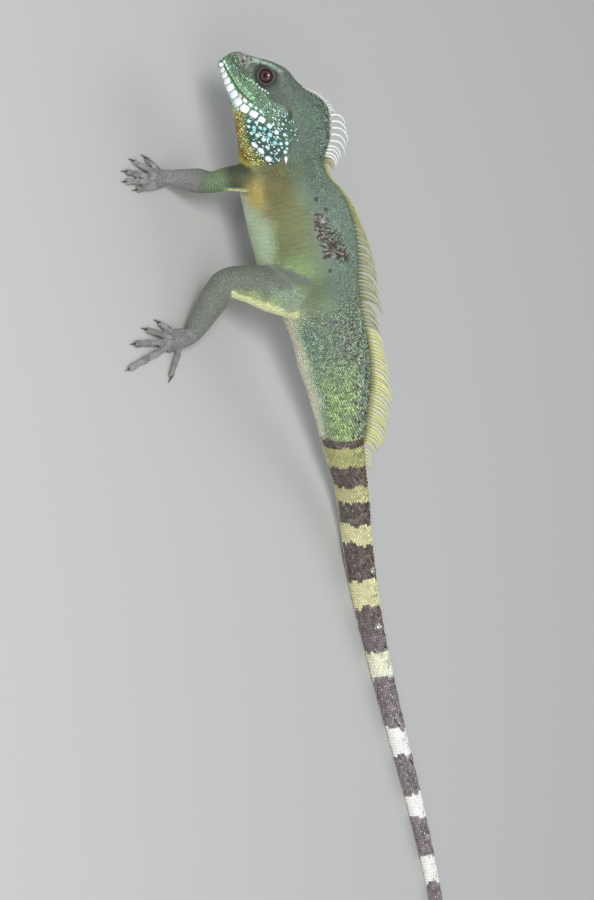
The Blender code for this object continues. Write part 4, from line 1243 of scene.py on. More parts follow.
def head_marks(points):
    """Colour, painted shade of the gaps between scales, and change of the head."""
    back, side, up = head_place(points)
    wide = cloud(points, 9, 12)
    u = up + 1.5 * wide
    above = ease(up + 0.8 * wide, rear_edge(back) - 0.6, rear_edge(back) + 1.2)
    throat = ease(u, throat_edge(back) + 3.5, throat_edge(back))
    colour = np.tile(TONES["cheek"], (len(points), 1))
    paint_cheek(colour, points, back, u, above)
    paint(colour, "gular", throat * ease(back, 22, 34))
    paint_jaw(colour, back, up, u)
    # gap is the painted shade of the skin between scales and of the scales' roots; lower is darker.
    gap = np.full(len(points), 0.3)
    gap += 0.36 * above + 0.12 * ease(back, 26, 12) * ease(u, 8, 14) - 0.14 * throat
    gap = np.clip(gap + 0.3 * ease(u, 15, 20) * ease(back, 12, 20), 0, 0.82)
    change = 0.16 + 0.1 * np.maximum(above, ease(u, 12, 20)) + 0.16 * ease(back, 22, 14) * ease(u, 6, 12)
    change = change + 0.1 * throat * ease(back, 22, 34)
    bare = np.zeros(len(points))
    for flank in (1, -1):
        bare = np.maximum(bare, paint_openings(colour, points, back, up, side * flank > 0, flank))
    paint_brow(colour, back, up)
    colour *= (1 + 0.1 * cloud(points, 4.5, 29) + 0.07 * cloud(points, 2, 30))[:, None]
    line = hump(up - mouth_height(back), 0.5) * ease(back, MOUTH_CORNER + 1, MOUTH_CORNER - 1)
    paint(colour, "dark", 0.9 * line)
    gap = gap + (1 - gap) * np.maximum(bare, line)
    return colour, gap, change


def paint_cheek(colour, points, back, u, above):
    """The snout, crown, temple, cheek and jowl."""
    paint(colour, "muzzle", ease(back, 30, 20) * ease(u, 5.0, 10.0))
    paint(colour, "snout", ease(back, 22, 12) * ease(u, 8, 14))
    flecks = ease(cloud(points, 2.2, 23), 0.1, 0.5)
    paint(colour, "snout_pale", ease(back, 22, 14) * flecks * ease(u, 6, 10) * 0.7)
    paint(colour, "leaf", ease(back, 46, 36) * ease(u, 6.5, 4.0) * 0.6)
    paint(colour, "temple", above * ease(back, 22, 34))
    paint(colour, "crown", ease(u, 21, 26))
    paint(colour, "lobe", above * ease(back, 52, 66))
    paint(colour, "jowl", ease(back, 42, 54) * ease(u, 7, -3) * (1 - above))
    paint(colour, "jowl", 0.85 * ease(back, 54, 64) * ease(u, 18, 12) * (1 - above))
    paint(colour, "jowl", ease(back, 10, 30) * ease(u, -5, -8) * 0.6)


def paint_jaw(colour, back, up, u):
    """The orange of the throat and the pale skin under the plates of the jaw."""
    below = ease(u, throat_edge(back) - 1.5, throat_edge(back) - 6.0)
    paint(colour, "amber", below * ease(back, 32, 46) * ease(back, 76, 66) * 0.85)
    under_plates = ease(up, jaw_line(back) - 1.2, jaw_line(back) - 2.4)
    paint(colour, "chin", under_plates * ease(back, 38, 30) * ease(up, -12, -9))


def paint_openings(colour, points, back, up, beside, flank):
    """The eye, ear and nostril of one side, with painted shade round the eye socket, in the hollow of the ear
    and in the nostril. Gives back where the skin is bare of scales.
    """
    far = np.linalg.norm(points - eye_middle(flank), axis=1)
    lid = ease(far, 11.0, 9.6) * beside
    paint(colour, "lid", lid)
    # Painted shade: the skin round the eye socket darkened.
    paint(colour, "socket", ease(far, 12.5, 9.6) * beside * 0.75)
    ear = ease(ear_distance(back, up), 1.35, 0.8) * beside
    before_ear = np.hypot(back - EAR[0] + 4.5, up - EAR[1] - 1.6)
    paint(colour, "brown", 0.7 * ease(before_ear, 2.8, 0.8) * beside)
    # The dark brown of the ear with painted shade in its hollow, darkest at its middle.
    paint(colour, "ear", ear)
    paint(colour, "dark", ease(ear_distance(back, up), 0.9, 0.4) * beside)
    nostril = ease(from_nostril(back, up), 1.4, 0.7) * beside
    # Painted shade in the hole of the nostril.
    paint(colour, "ear", nostril)
    return np.maximum(lid, np.maximum(ear, nostril))


def paint_brow(colour, back, up):
    """The pale ridge over the eye, the painted shadow under it and the painted shade before the eye."""
    # Painted shade on the skin before the eye.
    paint(colour, "socket", 0.6 * np.exp(-(((back - 16.5) / 3.0) ** 2) - ((up - 17.0) / 2.6) ** 2))
    band = hump(up + 0.5 - brow_height(back), 1.5) * ease(back, 12.5, 15.5)
    paint(colour, "brow", band * (1 - 0.45 * ease(back, 17, 28)) * ease(back, 37, 32))
    # Painted shadow of the brow ridge on the skin under it.
    brow_shadow = hump(up + 3.4 - brow_height(back), 0.9) * ease(back, 18, 22) * ease(back, 36, 31)
    paint(colour, "dark", 0.55 * brow_shadow)


def leg_marks(points, normals, place, hind):
    """Colour, painted shade of the gaps between scales, and change of an upper and lower leg."""
    colour = np.tile(TONES["thigh" if hind else "arm"], (len(points), 1))
    if hind:
        paint(colour, "hip", ease(place, 1.7, 1.0) * (1 - hip_taper(points)))
        paint(colour, "grey", ease(place, 2.6, 4.2))
        edge = np.interp(place, [0.9, 3.0], [0.67, 0.6])
        rear = ease(normals[:, 0] + 0.1 * cloud(points, 9, 13) - edge, 0.0, 0.13)
        tinted = ease(normals[:, 0] + 0.15 * cloud(points, 9, 27), 0.3, 0.62) * ease(place, 3.2, 2.2)
        paint(colour, "tail_green", 0.6 * tinted * ease(place, 0.6, 1.2))
        paint(colour, "straw", 0.22 * tinted * ease(place, 0.6, 1.2))
        paint(colour, "stripe", rear * ease(place, 3.6, 2.8))
        paint(colour, "stripe", 0.5 * near(points, (-97, -6, 56), 8))
    else:
        paint(colour, "olive", 0.9 * ease(place, 0.95, 0.6))
        paint(colour, "orange", 0.85 * near(points, (-189, -20.5, 57), 7))
        paint(colour, "elbow", ease(place, 1.7, 2.4) * ease(place, 3.7, 3.1))
        paint(colour, "grey", ease(place, 3.0, 3.7))
        paint(colour, "mauve", ease(place, 3.8, 5.2) * 0.8)
        paint(colour, "stripe", ease(normals[:, 0], 0.78, 0.93) * ease(place, 2.6, 1.8) * 0.85)
    paint(colour, "under", ease(-normals[:, 2], 0.35, 0.8) * 0.8)
    return colour, np.full(len(points), 0.62), np.full(len(points), 0.12)


def paw_marks(points, normals, digit):
    colour = np.tile(TONES["finger" if digit else "mauve"], (len(points), 1))
    paint(colour, "grey", 0.5 + 0.5 * cloud(points, 5, 14))
    paint(colour, "under", ease(-normals[:, 2], 0.3, 0.8))
    # The second value is the painted shade of the gaps between scales.
    return colour, np.full(len(points), 0.5), np.full(len(points), 0.12)


def colour_skin(skin):
    """Fills the skin's colour, the painted shade of the gaps between scales, and change, blended where its
    parts meet.
    """
    count = len(skin.points)
    look = np.zeros((count, 5))
    for number, name in enumerate(skin.names):
        mine = skin.owner == number
        points = skin.points[mine]
        normals = skin.normals[mine]
        place = skin.place[mine]
        if name == "body":
            marks = body_marks(points, place, skin.turn[mine])
        elif name == "head":
            marks = head_marks(points)
        elif "digit" in name or "sole" in name:
            marks = paw_marks(points, normals, "digit" in name)
        else:
            marks = leg_marks(points, normals, place, name.startswith("hind"))
        look[mine] = np.column_stack(marks)
    weight = skin.join_weight()
    for _ in range(BLEND_ROUNDS):
        look += 0.5 * weight * (average(look, skin.pairs) - look)
    skin.look = look


def band_triangles(lower, upper, sides):
    """The triangles between two rings of points whose first numbers are lower and upper."""
    faces = []
    for i in range(sides):
        j = (i + 1) % sides
        faces.append((lower + i, lower + j, upper + j))
        faces.append((lower + i, upper + j, upper + i))
    return faces


def spike_triangles(start, rings, sides):
    """The triangles of a closed spike whose rings are numbered from start on, with the tip after them."""
    faces = []
    for k in range(rings - 1):
        faces += band_triangles(start + k * sides, start + (k + 1) * sides, sides)
    last = start + (rings - 1) * sides
    faces += [(last + i, last + (i + 1) % sides, last + sides) for i in range(sides)]
    faces += [(start, start + i + 1, start + i) for i in range(1, sides - 1)]
    return faces


def template(rings, top, sides, power=2.0):
    """A closed scale from rings of (radius, level, shade) and a top (level, shade). The shades are painted
    shade low on the scale and a painted highlight on its top. More power is squarer.
    """
    points = []
    shades = []
    for radius, level, shade in rings:
        for i in range(sides):
            turn = 2 * math.pi * (i + 0.5) / sides
            reach = radius / (abs(math.cos(turn)) ** power + abs(math.sin(turn)) ** power) ** (1 / power)
            points.append((reach * math.cos(turn), reach * math.sin(turn), level))
            shades.append(shade)
    points.append((0, 0, top[0]))
    shades.append(top[1])
    faces = spike_triangles(0, len(rings), sides)
    foot = sides - 2
    return np.array(points), np.array(shades), faces[:-foot], faces[-foot:]


def keel_template():
    """A pointed scale with a keel that rises to its rear tip. Its shades paint shade on its low sides and a
    highlight along the keel.
    """
    rim = [(-1.0, 0.0), (-0.45, 0.92), (0.5, 0.86), (1.05, 0.0), (0.5, -0.86), (-0.45, -0.92)]
    points = [(x, y, -1.0) for x, y in rim]
    shades = [0.0] * 6
    for (x, y), level in zip(rim, (0.05, 0.15, 0.35, 0.8, 0.35, 0.15)):
        points.append((x * 0.92 + (0.12 if x > 1 else 0), y * 0.88, level))
        shades.append(0.7 if level < 0.3 else 0.9)
    points += [(-0.55, 0.0, 0.5), (0.4, 0.0, 0.95)]
    shades += [1.0, 1.15]
    shades[9] = 1.15
    faces = []
    for i in range(6):
        j = (i + 1) % 6
        faces += [(j + 6, i + 6, i), (j, j + 6, i)]
    faces += [(7, 12, 6), (13, 12, 7), (8, 13, 7), (9, 13, 8)]
    faces += [(12, 11, 6), (12, 13, 11), (13, 10, 11), (13, 9, 10)]
    caps = [(i + 1, i, 0) for i in range(1, 5)]
    return np.array(points), np.array(shades), faces, caps


GRANULE = template([(1.0, -1.0, 0.0), (0.8, 0.5, 0.9)], (1.0, 1.1), 6)
KEEL = keel_template()
PLATE = template([(1.0, -1.0, 0.0), (1.0, 0.35, 0.85), (0.87, 0.88, 1.0)], (1.0, 1.03), 12, 4.2)
BEAD = template([(1.0, -1.0, 0.0), (0.93, 0.4, 0.82), (0.62, 0.9, 1.0)], (1.05, 1.05), 10, 2.3)


class Scales:
    """Scales of one piece, gathered and then made as one mesh."""

    def __init__(self, name, skin, tree, slot):
        self.name = name
        self.skin = skin
        self.tree = tree
        self.slot = slot
        self.points = []
        self.colours = []
        self.faces = []
        self.uvs = []
        self.count = 0

    def add(self, shape, spots, ways, sizes, lift, marks, uv, colours=None):
        """Sets scales at spots in the skin's axes: half lengths, half widths and heights in sizes."""
        if len(spots) == 0:
            return
        form, shades, faces, caps = shape
        found = nearest(self.tree, spots)
        normal = self.skin.normals[found]
        off = ((spots - self.skin.points[found]) * normal).sum(axis=1)[:, None]
        at = spots - normal * off + normal * lift
        x = unit(ways - normal * (ways * normal).sum(axis=1)[:, None])
        y = np.cross(normal, x)
        look = self.skin.look[found]
        base = look[:, :3] if colours is None else colours
        vary = np.clip(RANDOM.normal(0, 1, (len(spots), 1)), -2, 2) * look[:, 4:5] * marks
        hue = 1 + RANDOM.normal(0, 0.1, (len(spots), 3)) * look[:, 4:5]
        base = np.clip(base * (1 + vary) * hue, 0.004, 0.95)
        level = form[:, 2]
        out = at[:, None] + x[:, None] * (form[:, 0] * sizes[:, 0:1])[..., None]
        out = out + y[:, None] * (form[:, 1] * sizes[:, 1:2])[..., None]
        rise = np.where(level < 0, -ROOT_DEPTH, level * sizes[:, 2:3])
        out = out + normal[:, None] * rise[..., None]
        out[..., 2] = np.maximum(out[..., 2], 0.02)
        # Painted shade and highlight: the root ring takes the painted shade of the gaps, the other rings and
        # the top the template's shades.
        shade = np.where(shades[None] == 0, look[:, 3:4] * 0.9, shades[None])
        count, per = out.shape[:2]
        self.points.append(out.reshape(-1, 3))
        self.colours.append((base[:, None] * shade[..., None]).reshape(-1, 3))
        start = self.count + np.arange(count)[:, None, None] * per
        patch = uv[:, None] + form[None, :, :2] * UV_PATCH
        for group, flat in ((faces, False), (caps, True)):
            group = np.array(group)
            self.faces.append((start + group[None]).reshape(-1, 3))
            corner = patch[:, group.ravel()]
            if flat:
                corner = np.repeat(uv[:, None] + np.array([UV_PATCH, 0.0]), group.size, axis=1)
            self.uvs.append(corner.reshape(-1, 2))
        self.count += count * per

    def make(self, material):
        points = np.vstack(self.points)
        faces = np.vstack(self.faces)
        obj = solid_piece(self.name, points, faces, np.vstack(self.colours), material)
        layer = obj.data.uv_layers.new(name="OFBake")
        layer.data.foreach_set("uv", np.vstack(self.uvs).astype(np.float32).ravel())
        print(self.name, len(faces), "triangles")
        return obj


def solid_piece(name, points, faces, colours, material):
    """A piece on the root body from triangles or quads, with a colour at each point."""
    faces = np.asarray(faces)
    sides = faces.shape[1]
    mesh = bpy.data.meshes.new(name)
    mesh.vertices.add(len(points))
    mesh.vertices.foreach_set("co", (np.asarray(points) * MM + SHIFT).astype(np.float32).ravel())
    mesh.loops.add(faces.size)
    mesh.loops.foreach_set("vertex_index", faces.astype(np.int32).ravel())
    mesh.polygons.add(len(faces))
    mesh.polygons.foreach_set("loop_start", np.arange(0, faces.size, sides, dtype=np.int32))
    mesh.update(calc_edges=True)
    mesh.validate()
    layer = mesh.attributes.new("Colour", "FLOAT_COLOR", "POINT")
    opaque = np.column_stack([colours, np.ones(len(points))])
    layer.data.foreach_set("color", opaque.astype(np.float32).ravel())
    mesh.shade_smooth()
    obj = in_scene(name, mesh)
    mesh.materials.append(material)
    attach(obj, "root")
    return obj


def set_inputs(node, values):
    """Sets the named inputs of a material's or world's node, and gives the node back."""
    for name, value in values.items():
        node.inputs[name].default_value = value
    return node


def coloured(name, roughness, bump, grain, coat=0.0, fine=0.12, gloss=0.5):
    """A material that shows the piece's own colours, broken up by fine grain."""
    made = bpy.data.materials.new(name)
    made.use_nodes = True
    nodes = made.node_tree.nodes
    wires = made.node_tree.links
    finish = {"Roughness": roughness, "Coat Weight": coat, "Coat Roughness": 0.05, "Coat IOR": 1.38}
    shader = set_inputs(nodes["Principled BSDF"], {**finish, "Specular IOR Level": gloss})
    colour = nodes.new("ShaderNodeAttribute")
    colour.attribute_name = "Colour"
    place = nodes.new("ShaderNodeTexCoord")
    speckle = set_inputs(nodes.new("ShaderNodeTexNoise"), {"Scale": grain, "Detail": 4.0})
    reach = {"From Min": 0.25, "From Max": 0.75, "To Min": 1 - fine, "To Max": 1 + fine}
    span = set_inputs(nodes.new("ShaderNodeMapRange"), reach)
    shade = nodes.new("ShaderNodeVectorMath")
    shade.operation = "SCALE"
    relief = set_inputs(nodes.new("ShaderNodeBump"), {"Strength": bump, "Distance": 0.0004})
    wires.new(place.outputs["Object"], speckle.inputs["Vector"])
    wires.new(speckle.outputs["Fac"], span.inputs["Value"])
    wires.new(colour.outputs["Color"], shade.inputs[0])
    wires.new(span.outputs["Result"], shade.inputs["Scale"])
    wires.new(shade.outputs["Vector"], shader.inputs["Base Color"])
    wires.new(speckle.outputs["Fac"], relief.inputs["Height"])
    wires.new(relief.outputs["Normal"], shader.inputs["Normal"])
    return made


def reader(places, values):
    """A function that reads a value at a place."""
    return lambda place: float(np.interp(place, places, values))


def lattice_on(skin, tree, loft, pattern):
    """The spots of a loft's lattice that lie on its own part of the skin."""
    return on_skin(skin, tree, loft, loft.lattice(*(reader(*values) for values in pattern)))


def inside_uv(a, b):
    """Two shares from 0 to 1 as a place on the unwrapped skin."""
    return np.column_stack([0.01 + 0.97 * np.clip(a, 0, 1), 0.01 + 0.97 * np.clip(b, 0, 1)])


def head_uv(back, side, up):
    return inside_uv(back / 90, 0.5 + np.sign(side) * (0.25 - up / 160))


def on_skin(skin, tree, loft, rows):
    """The rows of a loft's lattice that lie on its own part of the skin, and not inside another part."""
    found = nearest(tree, rows[:, :3])
    away = rows[:, :3] - skin.points[found]
    off = (away * skin.normals[found]).sum(axis=1)
    beside = np.linalg.norm(away - off[:, None] * skin.normals[found], axis=1)
    mine = skin.owner[found] == skin.names.index(loft.name)
    return rows[mine & (np.abs(off) < 3.0) & (beside < 1.0) & (eye_distance(rows[:, :3]) > 10.2)]


def eye_distance(points):
    return np.minimum(*(np.linalg.norm(points - eye_middle(flank), axis=1) for flank in (1, -1)))


def row_scales(skin, tree, rows, name, slot, height, keels, material):
    """One piece of scales from a stretch of a lattice."""
    piece = Scales(name, skin, tree, slot)
    places = rows[:, PLACE]
    start = places.min()
    uv = inside_uv((places - start) / (places.max() - start), rows[:, TURN] / 360)
    keeled = RANDOM.random(len(rows)) < np.interp(places, *keels)
    for shape, mine, long_share, wide_share in ((GRANULE, ~keeled, 0.56, 0.53), (KEEL, keeled, 0.62, 0.52)):
        part = rows[mine]
        size = 1 + RANDOM.normal(0, 0.07, len(part))
        tall = np.interp(part[:, PLACE], *height) * size
        sizes = np.column_stack([part[:, STEP] * long_share * size, part[:, GAP] * wide_share * size, tall])
        piece.add(shape, part[:, :3], part[:, 3:6], sizes, 0.0, 1.0, uv[mine])
    return piece.make(material)


def bare_of_scales(points):
    """Where the head carries no scales: lids, ears, nostrils and the line of the mouth."""
    back, _, up = head_place(points)
    on_front = (back > -4) & (back < 80)
    bare = eye_distance(points) < 9.6
    bare |= on_front & (ear_distance(back, up) < 1.15)
    bare |= on_front & (from_nostril(back, up) < 1.3)
    bare |= on_front & (np.abs(up - mouth_height(back)) < 0.5) & (back < MOUTH_CORNER)
    return bare


class Spread:
    """Spots set one by one, none too close to another."""

    def __init__(self):
        self.cells = {}

    def corner(self, point):
        return int(point[0] // CELL), int(point[1] // CELL), int(point[2] // CELL)

    def put(self, point, radius):
        self.cells.setdefault(self.corner(point), []).append((point[0], point[1], point[2], radius))

    def free(self, point, radius, share):
        """Whether a spot is clear of the others by a share of the two radii."""
        cx, cy, cz = self.corner(point)
        x, y, z = point
        for dx in (-1, 0, 1):
            for dy in (-1, 0, 1):
                for dz in (-1, 0, 1):
                    for ox, oy, oz, other in self.cells.get((cx + dx, cy + dy, cz + dz), ()):
                        if (ox - x) ** 2 + (oy - y) ** 2 + (oz - z) ** 2 < (share * (other + radius)) ** 2:
                            return False
        return True


def random_spots(skin, quads, count):
    """Random points on the given faces of the skin."""
    quad = skin.points[skin.quads[RANDOM.choice(quads, count)]]
    share = RANDOM.random((count, 2, 1))
    ab = quad[:, 0] * (1 - share[:, 0]) + quad[:, 1] * share[:, 0]
    dc = quad[:, 3] * (1 - share[:, 0]) + quad[:, 2] * share[:, 0]
    return ab * (1 - share[:, 1]) + dc * share[:, 1]


def fold_scales(skin, tree, placed, material):
    """Granules wherever the skin would be left bare between the rows."""
    near_scale = tree_of(placed[:, :3])
    found = [near_scale.find(p) for p in skin.points]
    far = np.array([f[2] for f in found])
    spacing = placed[np.array([f[1] for f in found]), 3]
    open_skin = (far > 0.72 * spacing) & ~bare_of_scales(skin.points)
    quads = np.flatnonzero(open_skin[skin.quads].sum(axis=1) >= 2)
    spread = Spread()
    for x, y, z, spacing in placed:
        spread.put((x, y, z), spacing * 0.5)
    spots = []
    for spot in random_spots(skin, quads, FOLD_TRIES * len(quads)):
        if spread.free(spot, FOLD_RADIUS, 0.8):
            spread.put(spot, FOLD_RADIUS)
            spots.append(spot)
    spots = np.array(spots)
    spots = spots[~bare_of_scales(spots)]
    piece = Scales("fold_scales", skin, tree, "trunk_skin")
    low = skin.points.min(axis=0)
    reach = skin.points.max(axis=0) - low
    across = (spots[:, 1] + spots[:, 2] - low[1]) / reach[1] * 0.6
    uv = inside_uv((spots[:, 0] - low[0]) / reach[0], across)
    ways = np.tile([1.0, 0.3, -0.2], (len(spots), 1))
    sizes = np.tile([0.78, 0.74, 0.22], (len(spots), 1)) * (1 + RANDOM.normal(0, 0.08, (len(spots), 1)))
    piece.add(GRANULE, spots, ways, sizes, 0.0, 1.0, uv)
    return piece.make(material)


def jaw_way(back):
    """The way along the jaw at a distance back from the snout."""
    slope = float(jaw_line(back + 2) - jaw_line(back - 2)) / 4
    return HEAD_BACK + HEAD_TOP * slope


def head_touch(skin, tree, back, up, flank):
    """The skin's point beside the head at a place on its side."""
    side = 20.0
    for _ in range(4):
        point = on_head(back, flank * side, up)
        _, found, _ = tree.find(point)
        side = float(head_place(skin.points[found][None])[1][0]) * flank
    return on_head(back, flank * side, up)


def cheek_rows(skin, tree, spread):
    """Scales in rows that run along the jaw and spread out towards the jowl: point, way and half sizes."""
    found = []
    own = skin.owned("head")
    for flank in (1, -1):
        for row in range(-22, 18):
            back = 1.0 + 0.6 * (row % 2)
            while back < 85:
                jowl = float(ease(back, 38, 56))
                up = float(jaw_line(back)) + row * 1.38 * (1 + 0.18 * jowl)
                step = 1.3 + 0.5 * jowl * float(ease(up, 14, 6))
                back += step * (1 + RANDOM.normal(0, 0.13))
                if up > rear_edge(back) or up < -32 or (row == 0 and back > 8):
                    continue
                point = head_touch(skin, tree, back, up + RANDOM.normal(0, 0.14 + 0.14 * jowl), flank)
                _, index, far = tree.find(point)
                radius = 0.55 + 0.16 * jowl
                if far > 1.2 or not own[index] or not spread.free(point, radius, 0.86):
                    continue
                spread.put(point, radius)
                found.append([*point, *jaw_way(back), step * 0.56, 0.5 + 0.15 * jowl])
    return np.array(found)


def head_spots(skin, spread):
    """Spots spread over the rest of the head, clear of the ones set before."""
    middle = skin.points[skin.quads].mean(axis=1)
    mine = (skin.owned("head")[skin.quads].sum(axis=1) >= 3) & ~bare_of_scales(middle)
    spots = random_spots(skin, np.flatnonzero(mine), HEAD_TRIES)
    spots = spots[~bare_of_scales(spots)]
    back, _, up = head_place(spots)
    radius = 0.64 + 0.14 * ease(back, 40, 30) * ease(up, 12, 18) + 0.1 * ease(back, 20, 13) * ease(up, 5, 9)
    radius = radius * (1 + 0.1 * cloud(spots, 3, 15))
    kept = []
    for spot, size in zip(spots, radius):
        if spread.free(spot, size, 0.86):
            spread.put(spot, size)
            kept.append([*spot, *(HEAD_BACK - HEAD_TOP * 0.15), size * 1.12, size * 1.04])
    return np.array(kept)


def lip_plates():
    """The small plates along the upper lip, and those under the great plates of the jaw."""
    plates = []
    for k, back in enumerate(np.arange(2.0, 37.0, 2.8)):
        tint = "leaf" if k > 2 else "bead"
        plates.append(Plate(back, float(mouth_height(back)) + 1.5, 1.35, 0.85, 0.4, tint))
        plates.append(Plate(back + 0.4, float(jaw_line(back)) - 3.2 - 0.02 * back, 1.3, 1.0, 0.4, "chin"))
    return plates


def under_eye_plates():
    """The row of pale scales below the eye."""
    plates = []
    for k in range(8):
        tint = "bead" if k in (4, 5) else "brow"
        plates.append(Plate(22.5 + 2.5 * k, 9.6 + 0.72 * k - 0.8 * (k == 0), 1.15, 0.8, 0.45, tint))
    return plates


def jaw_plates(skin, tree, spread, material):
    """The plates of both sides of the head, and the spots they take up with the spacing there."""
    piece = Scales("jaw_plates", skin, tree, "head_skin")
    lip = lip_plates()
    squares = [*PLATES[:GREAT_PLATES], *lip]
    placed = []
    for flank in (1, -1):
        for plate in [*PLATES, *lip, *under_eye_plates()]:
            point = head_touch(skin, tree, plate.back, plate.up, flank)
            way = jaw_way(plate.back)
            ends = (-0.5, 0.5) if plate.half_length > 1.5 * plate.half_width else (0.0,)
            for end in ends:
                spot = point + unit(way) * end * plate.half_length
                spread.put(spot, plate.half_width * 0.95)
                placed.append([*spot, plate.half_width * 1.5])
            colour = TONES[plate.tint] * (1 + RANDOM.normal(0, 0.05))
            size = np.array([[plate.half_length, plate.half_width, plate.rise]])
            uv = head_uv(np.array([plate.back]), flank, np.array([plate.up]))
            shape = PLATE if plate in squares else BEAD
            piece.add(shape, point[None], way[None], size, 0.05, 0.3, uv, colour[None])
        cone = head_touch(skin, tree, *JOWL_CONE, flank)
        way = HEAD_BACK - HEAD_TOP * 0.7
        size = np.array([[1.9, 1.4, 3.0]])
        uv = inside_uv(np.array([0.95]), np.array([0.5 + flank * 0.3]))
        piece.add(CONE, cone[None], way[None], size, 0.0, 0.2, uv, TONES["plate"][None])
        spread.put(cone, 1.7)
        placed.append([*cone, 2.4])
    piece.make(material)
    return placed


def cheek_scales(skin, tree, rows, material):
    """The pale and dark scales in rows on the cheek and jowl."""
    cheek = Scales("cheek_scales", skin, tree, "head_skin")
    back, side, up = head_place(rows[:, :3])
    colours = skin.look[nearest(tree, rows[:, :3]), :3].copy()
    luck = RANDOM.random(len(rows))
    jowl = ease(back, 42, 52)
    throat = ease(up - throat_edge(back), 4.0, 1.0) * ease(back, 24, 34)
    lit = luck < 0.42 - 0.14 * jowl
    paint(colours, "mint", lit * (1 - jowl) * (0.75 - 0.35 * ease(back, 24, 12)))
    paint(colours, "bead", (luck < 0.05) * (1 - jowl) * 0.8)
    paint(colours, "bead", lit * jowl * (1 - throat))
    paint(colours, "pool", (luck > 0.86) * jowl * (1 - throat))
    paint(colours, "straw", lit * throat)
    size = np.where(lit, 1.1, 0.92) * (1 + RANDOM.normal(0, 0.1, len(rows)))
    sizes = np.column_stack([rows[:, 6] * size, rows[:, 7] * size, (0.34 + 0.2 * jowl) * size])
    cheek.add(GRANULE, rows[:, :3], rows[:, 3:6], sizes, 0.0, 0.8, head_uv(back, side, up), colours)
    cheek.make(material)


def small_scales(skin, tree, rows, material):
    """The fine scales of the rest of the head."""
    small = Scales("head_scales", skin, tree, "head_skin")
    sizes = np.column_stack([rows[:, 6], rows[:, 7], np.full(len(rows), 0.22)])
    uv = head_uv(*head_place(rows[:, :3]))
    small.add(GRANULE, rows[:, :3], rows[:, 3:6], sizes, 0.0, 1.0, uv)
    small.make(material)


def head_scales(skin, tree, material):
    """All the scales of the head, and the spots they take up with the spacing there."""
    spread = Spread()
    placed = jaw_plates(skin, tree, spread, material)
    rows = cheek_rows(skin, tree, spread)
    rows = rows[~bare_of_scales(rows[:, :3])]
    cheek_scales(skin, tree, rows, material)
    rest = head_spots(skin, spread)
    small_scales(skin, tree, rest, material)
    placed += [[*row[:3], 1.3] for row in rows]
    placed += [[*row[:3], row[6] * 2] for row in rest]
    return placed


CONE = template([(1.0, -1.0, 0.0), (0.85, 0.2, 0.9), (0.45, 0.6, 1.0)], (1.0, 1.0), 8)
CONE[0][:, 0] += 2.0 * np.maximum(CONE[0][:, 2], 0) ** 1.3


def spine_tones(row, place):
    """The colours of a spine's blade and root."""
    look = SPINE_LOOKS[row.look]
    main = look.main
    if row.look == "tail" and place > 14:
        main = "pale_mid" if np.searchsorted(BANDS, place) % 2 == 0 else "band"
    return TONES[main], TONES[look.root]


def spine(row, place, height):
    """The points and colours of one long flat blade that stands up from the ridge and curls back."""
    look = SPINE_LOOKS[row.look]
    rest = float(np.interp(place, SPINE_PLACES, SPINE_LEANS))
    here, along, left, up = body_frame(place)
    root = here[:3] + up * (here[3] - 0.2)
    tilt = math.radians(RANDOM.normal(0, 3.0))
    lean = RANDOM.normal(0, 2.5)
    up = up * math.cos(tilt) + left * math.sin(tilt)
    side = np.cross(up, along)
    slim = float(np.clip(height / look.full_height, 0.36, look.widest))
    bend = look.bend if height > 6 else SHORT_BEND
    main, root_tone = spine_tones(row, place)
    points = []
    colours = []
    for level in SPINE_LEVELS:
        reach = level * height if level >= 0 else -min(3.0, 1.0 + height * 0.2)
        curl = math.radians(rest + lean + bend * max(level, 0) ** 1.6)
        middle = root + up * reach * math.cos(curl) + along * reach * math.sin(curl)
        blade = unit(along * math.cos(curl) - up * math.sin(curl))
        wide = np.interp(level, WIDTH_LEVELS, WIDTHS) * slim
        thick = np.interp(level, THICK_LEVELS, THICKS) * slim
        points.extend(ring_of(middle, blade * wide / 2, side * thick / 2, SPINE_SIDES))
        grow = float(ease(level, 0.0, look.fade))
        for turn in np.arange(SPINE_SIDES) * 2 * math.pi / SPINE_SIDES:
            shade = 0.85 + 0.2 * math.cos(turn + math.pi) if row.look != "nape" else 1.0
            colours.append((root_tone * (1 - grow) + main * grow) * shade)
    curl = math.radians(rest + lean + bend)
    points.append(root + up * height * math.cos(curl) + along * height * math.sin(curl))
    colours.append(main * 1.02)
    return points, colours


def crest_spines(material):
    """The whole crest, spine by spine."""
    points = []
    colours = []
    faces = []
    for row in CREST:
        for share in np.linspace(0, 1, row.count):
            place = row.start + (row.end - row.start) * share
            height = (row.first + (row.last - row.first) * share) * (1 + RANDOM.normal(0, 0.035))
            height *= np.interp(place, STRETCH_PLACES, STRETCHES)
            faces += spike_triangles(len(points), len(SPINE_LEVELS), SPINE_SIDES)
            blade, tones = spine(row, place, height)
            points += blade
            colours += tones
    return outward("crest_spines", points, faces, colours, material)


def outward(name, points, faces, colours, material):
    """A piece of closed shells whose faces all look outwards."""
    obj = solid_piece(name, points, faces, np.array(colours), material)
    face_outwards(obj.data)
    return obj


